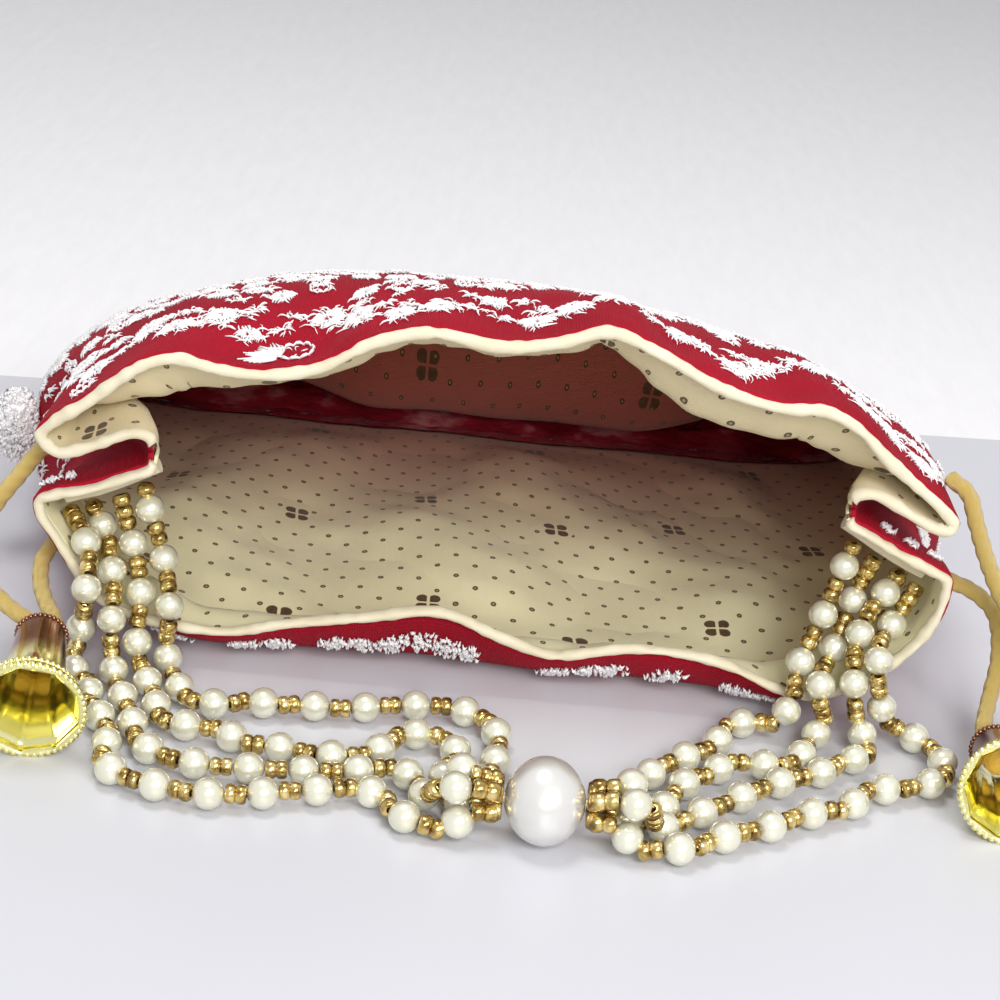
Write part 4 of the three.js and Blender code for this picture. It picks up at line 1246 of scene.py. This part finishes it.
# Tuft.
TUFT_THREADS = 1800
TUFT_RADII = (0.5, 0.42, 0.2)


def tuft():
    """A soft core under short threads that stand out on all sides."""
    centre, radii = middle_and_radii("side_tuft")
    fluff = Many()
    core, faces = ball(np.zeros(3), 0.96, 20, 14)
    fluff.add([centre + point * radii for point in core], faces)
    for _ in range(TUFT_THREADS):
        z = rng.uniform(-1, 1)
        turn = rng.uniform(0, FULL_TURN)
        flat = math.sqrt(1 - z * z)
        out = np.array([flat * math.cos(turn), flat * math.sin(turn), z])
        base = centre + out * radii * 0.9
        bend = np.array([rng.uniform(-1, 1) for _ in range(3)]) * 0.9
        tip = centre + out * radii * rng.uniform(0.98, 1.06)
        line = [base, (base + tip) / 2 + bend, tip + bend * 0.6]
        vertices = []
        for (point, up, third), radius in zip(frames(line), TUFT_RADII):
            vertices.extend(circle(point, up, third, radius, 3))
        fluff.add(vertices, grid_faces(3, 3, wrap=True))
    piece = fluff.make("side_tuft_fluff", WHITE, "white_thread")
    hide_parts("side_tuft")


tuft()


# Table, backdrop and light, in metres.
EDGE_LEFT = (-0.135, 0.055)
EDGE_RIGHT = (0.135, 0.078)


def plain_stage():
    """Level ground: a white table, and past a straight edge behind the bag a sheet of pale paper."""
    look = Look("table_and_paper", (0.7, 0.7, 0.74), 0.4)
    place = look.where()
    x, y, _ = look.split(place)
    slope = (EDGE_RIGHT[1] - EDGE_LEFT[1]) / (EDGE_RIGHT[0] - EDGE_LEFT[0])
    line = look.math("MULTIPLY", look.math("SUBTRACT", x, EDGE_LEFT[0]), slope)
    past = look.math("SUBTRACT", y, look.math("ADD", line, EDGE_LEFT[1]))
    paper_share = look.math("GREATER_THAN", past, 0.0)
    rough = look.noise(70, 7, look.stretched(place, (3, 0.6, 1)), 0.65)
    paper = look.mix(rough, (0.85, 0.835, 0.835), (0.96, 0.945, 0.95))
    table = look.mix(look.noise(9, 3), (0.6, 0.6, 0.64), (0.66, 0.66, 0.69))
    look.color(look.mix(paper_share, table, paper))
    look.roughness(look.math("ADD", look.math("MULTIPLY", paper_share, 0.5), 0.38))
    ground = bpy.data.meshes.new("ground")
    corners = [(-2.5, -1.2, 0), (2.5, -1.2, 0), (2.5, 4, 0), (-2.5, 4, 0)]
    ground.from_pydata(corners, [], [(0, 1, 2, 3)])
    piece = placed("ground", ground)
    ground.materials.append(look.material)


plain_stage()


def area_light(name, place, aim, size, power):
    data = bpy.data.lights.new(name, "AREA")
    data.shape = "RECTANGLE"
    data.size, data.size_y = size
    data.energy = power
    lamp = placed(name, data)
    lamp.location = place
    lamp.rotation_euler = (Vector(aim) - Vector(place)).to_track_quat("-Z", "Y").to_euler()


area_light("key", (-0.12, -0.02, 0.9), (0, -0.02, 0.03), (0.3, 0.3), 2.9)
area_light("front_fill", (0.3, -0.78, 0.6), (0, 0, 0.03), (0.5, 0.4), 6.2)
area_light("low_front", (0.02, -1.0, 0.46), (0, 0, 0.03), (0.3, 0.2), 2.6)

world = bpy.data.worlds.new("world")
bpy.context.scene.world = world
world.use_nodes = True
tree = world.node_tree
background = tree.nodes["Background"].inputs
background[0].default_value = (0.95, 0.96, 1.0, 1)
rays, direct, through, level = (
    tree.nodes.new("ShaderNode" + kind) for kind in ("LightPath", "Math", "Math", "MapRange")
)
direct.operation = through.operation = "MAXIMUM"
level.inputs["To Min"].default_value = 0.42
level.inputs["To Max"].default_value = 0.8
tree.links.new(rays.outputs["Is Camera Ray"], direct.inputs[0])
tree.links.new(rays.outputs["Is Glossy Ray"], direct.inputs[1])
tree.links.new(direct.outputs[0], through.inputs[0])
tree.links.new(rays.outputs["Is Transmission Ray"], through.inputs[1])
tree.links.new(through.outputs[0], level.inputs["Value"])
tree.links.new(level.outputs[0], background[1])
bpy.context.scene.view_settings.view_transform = "Standard"
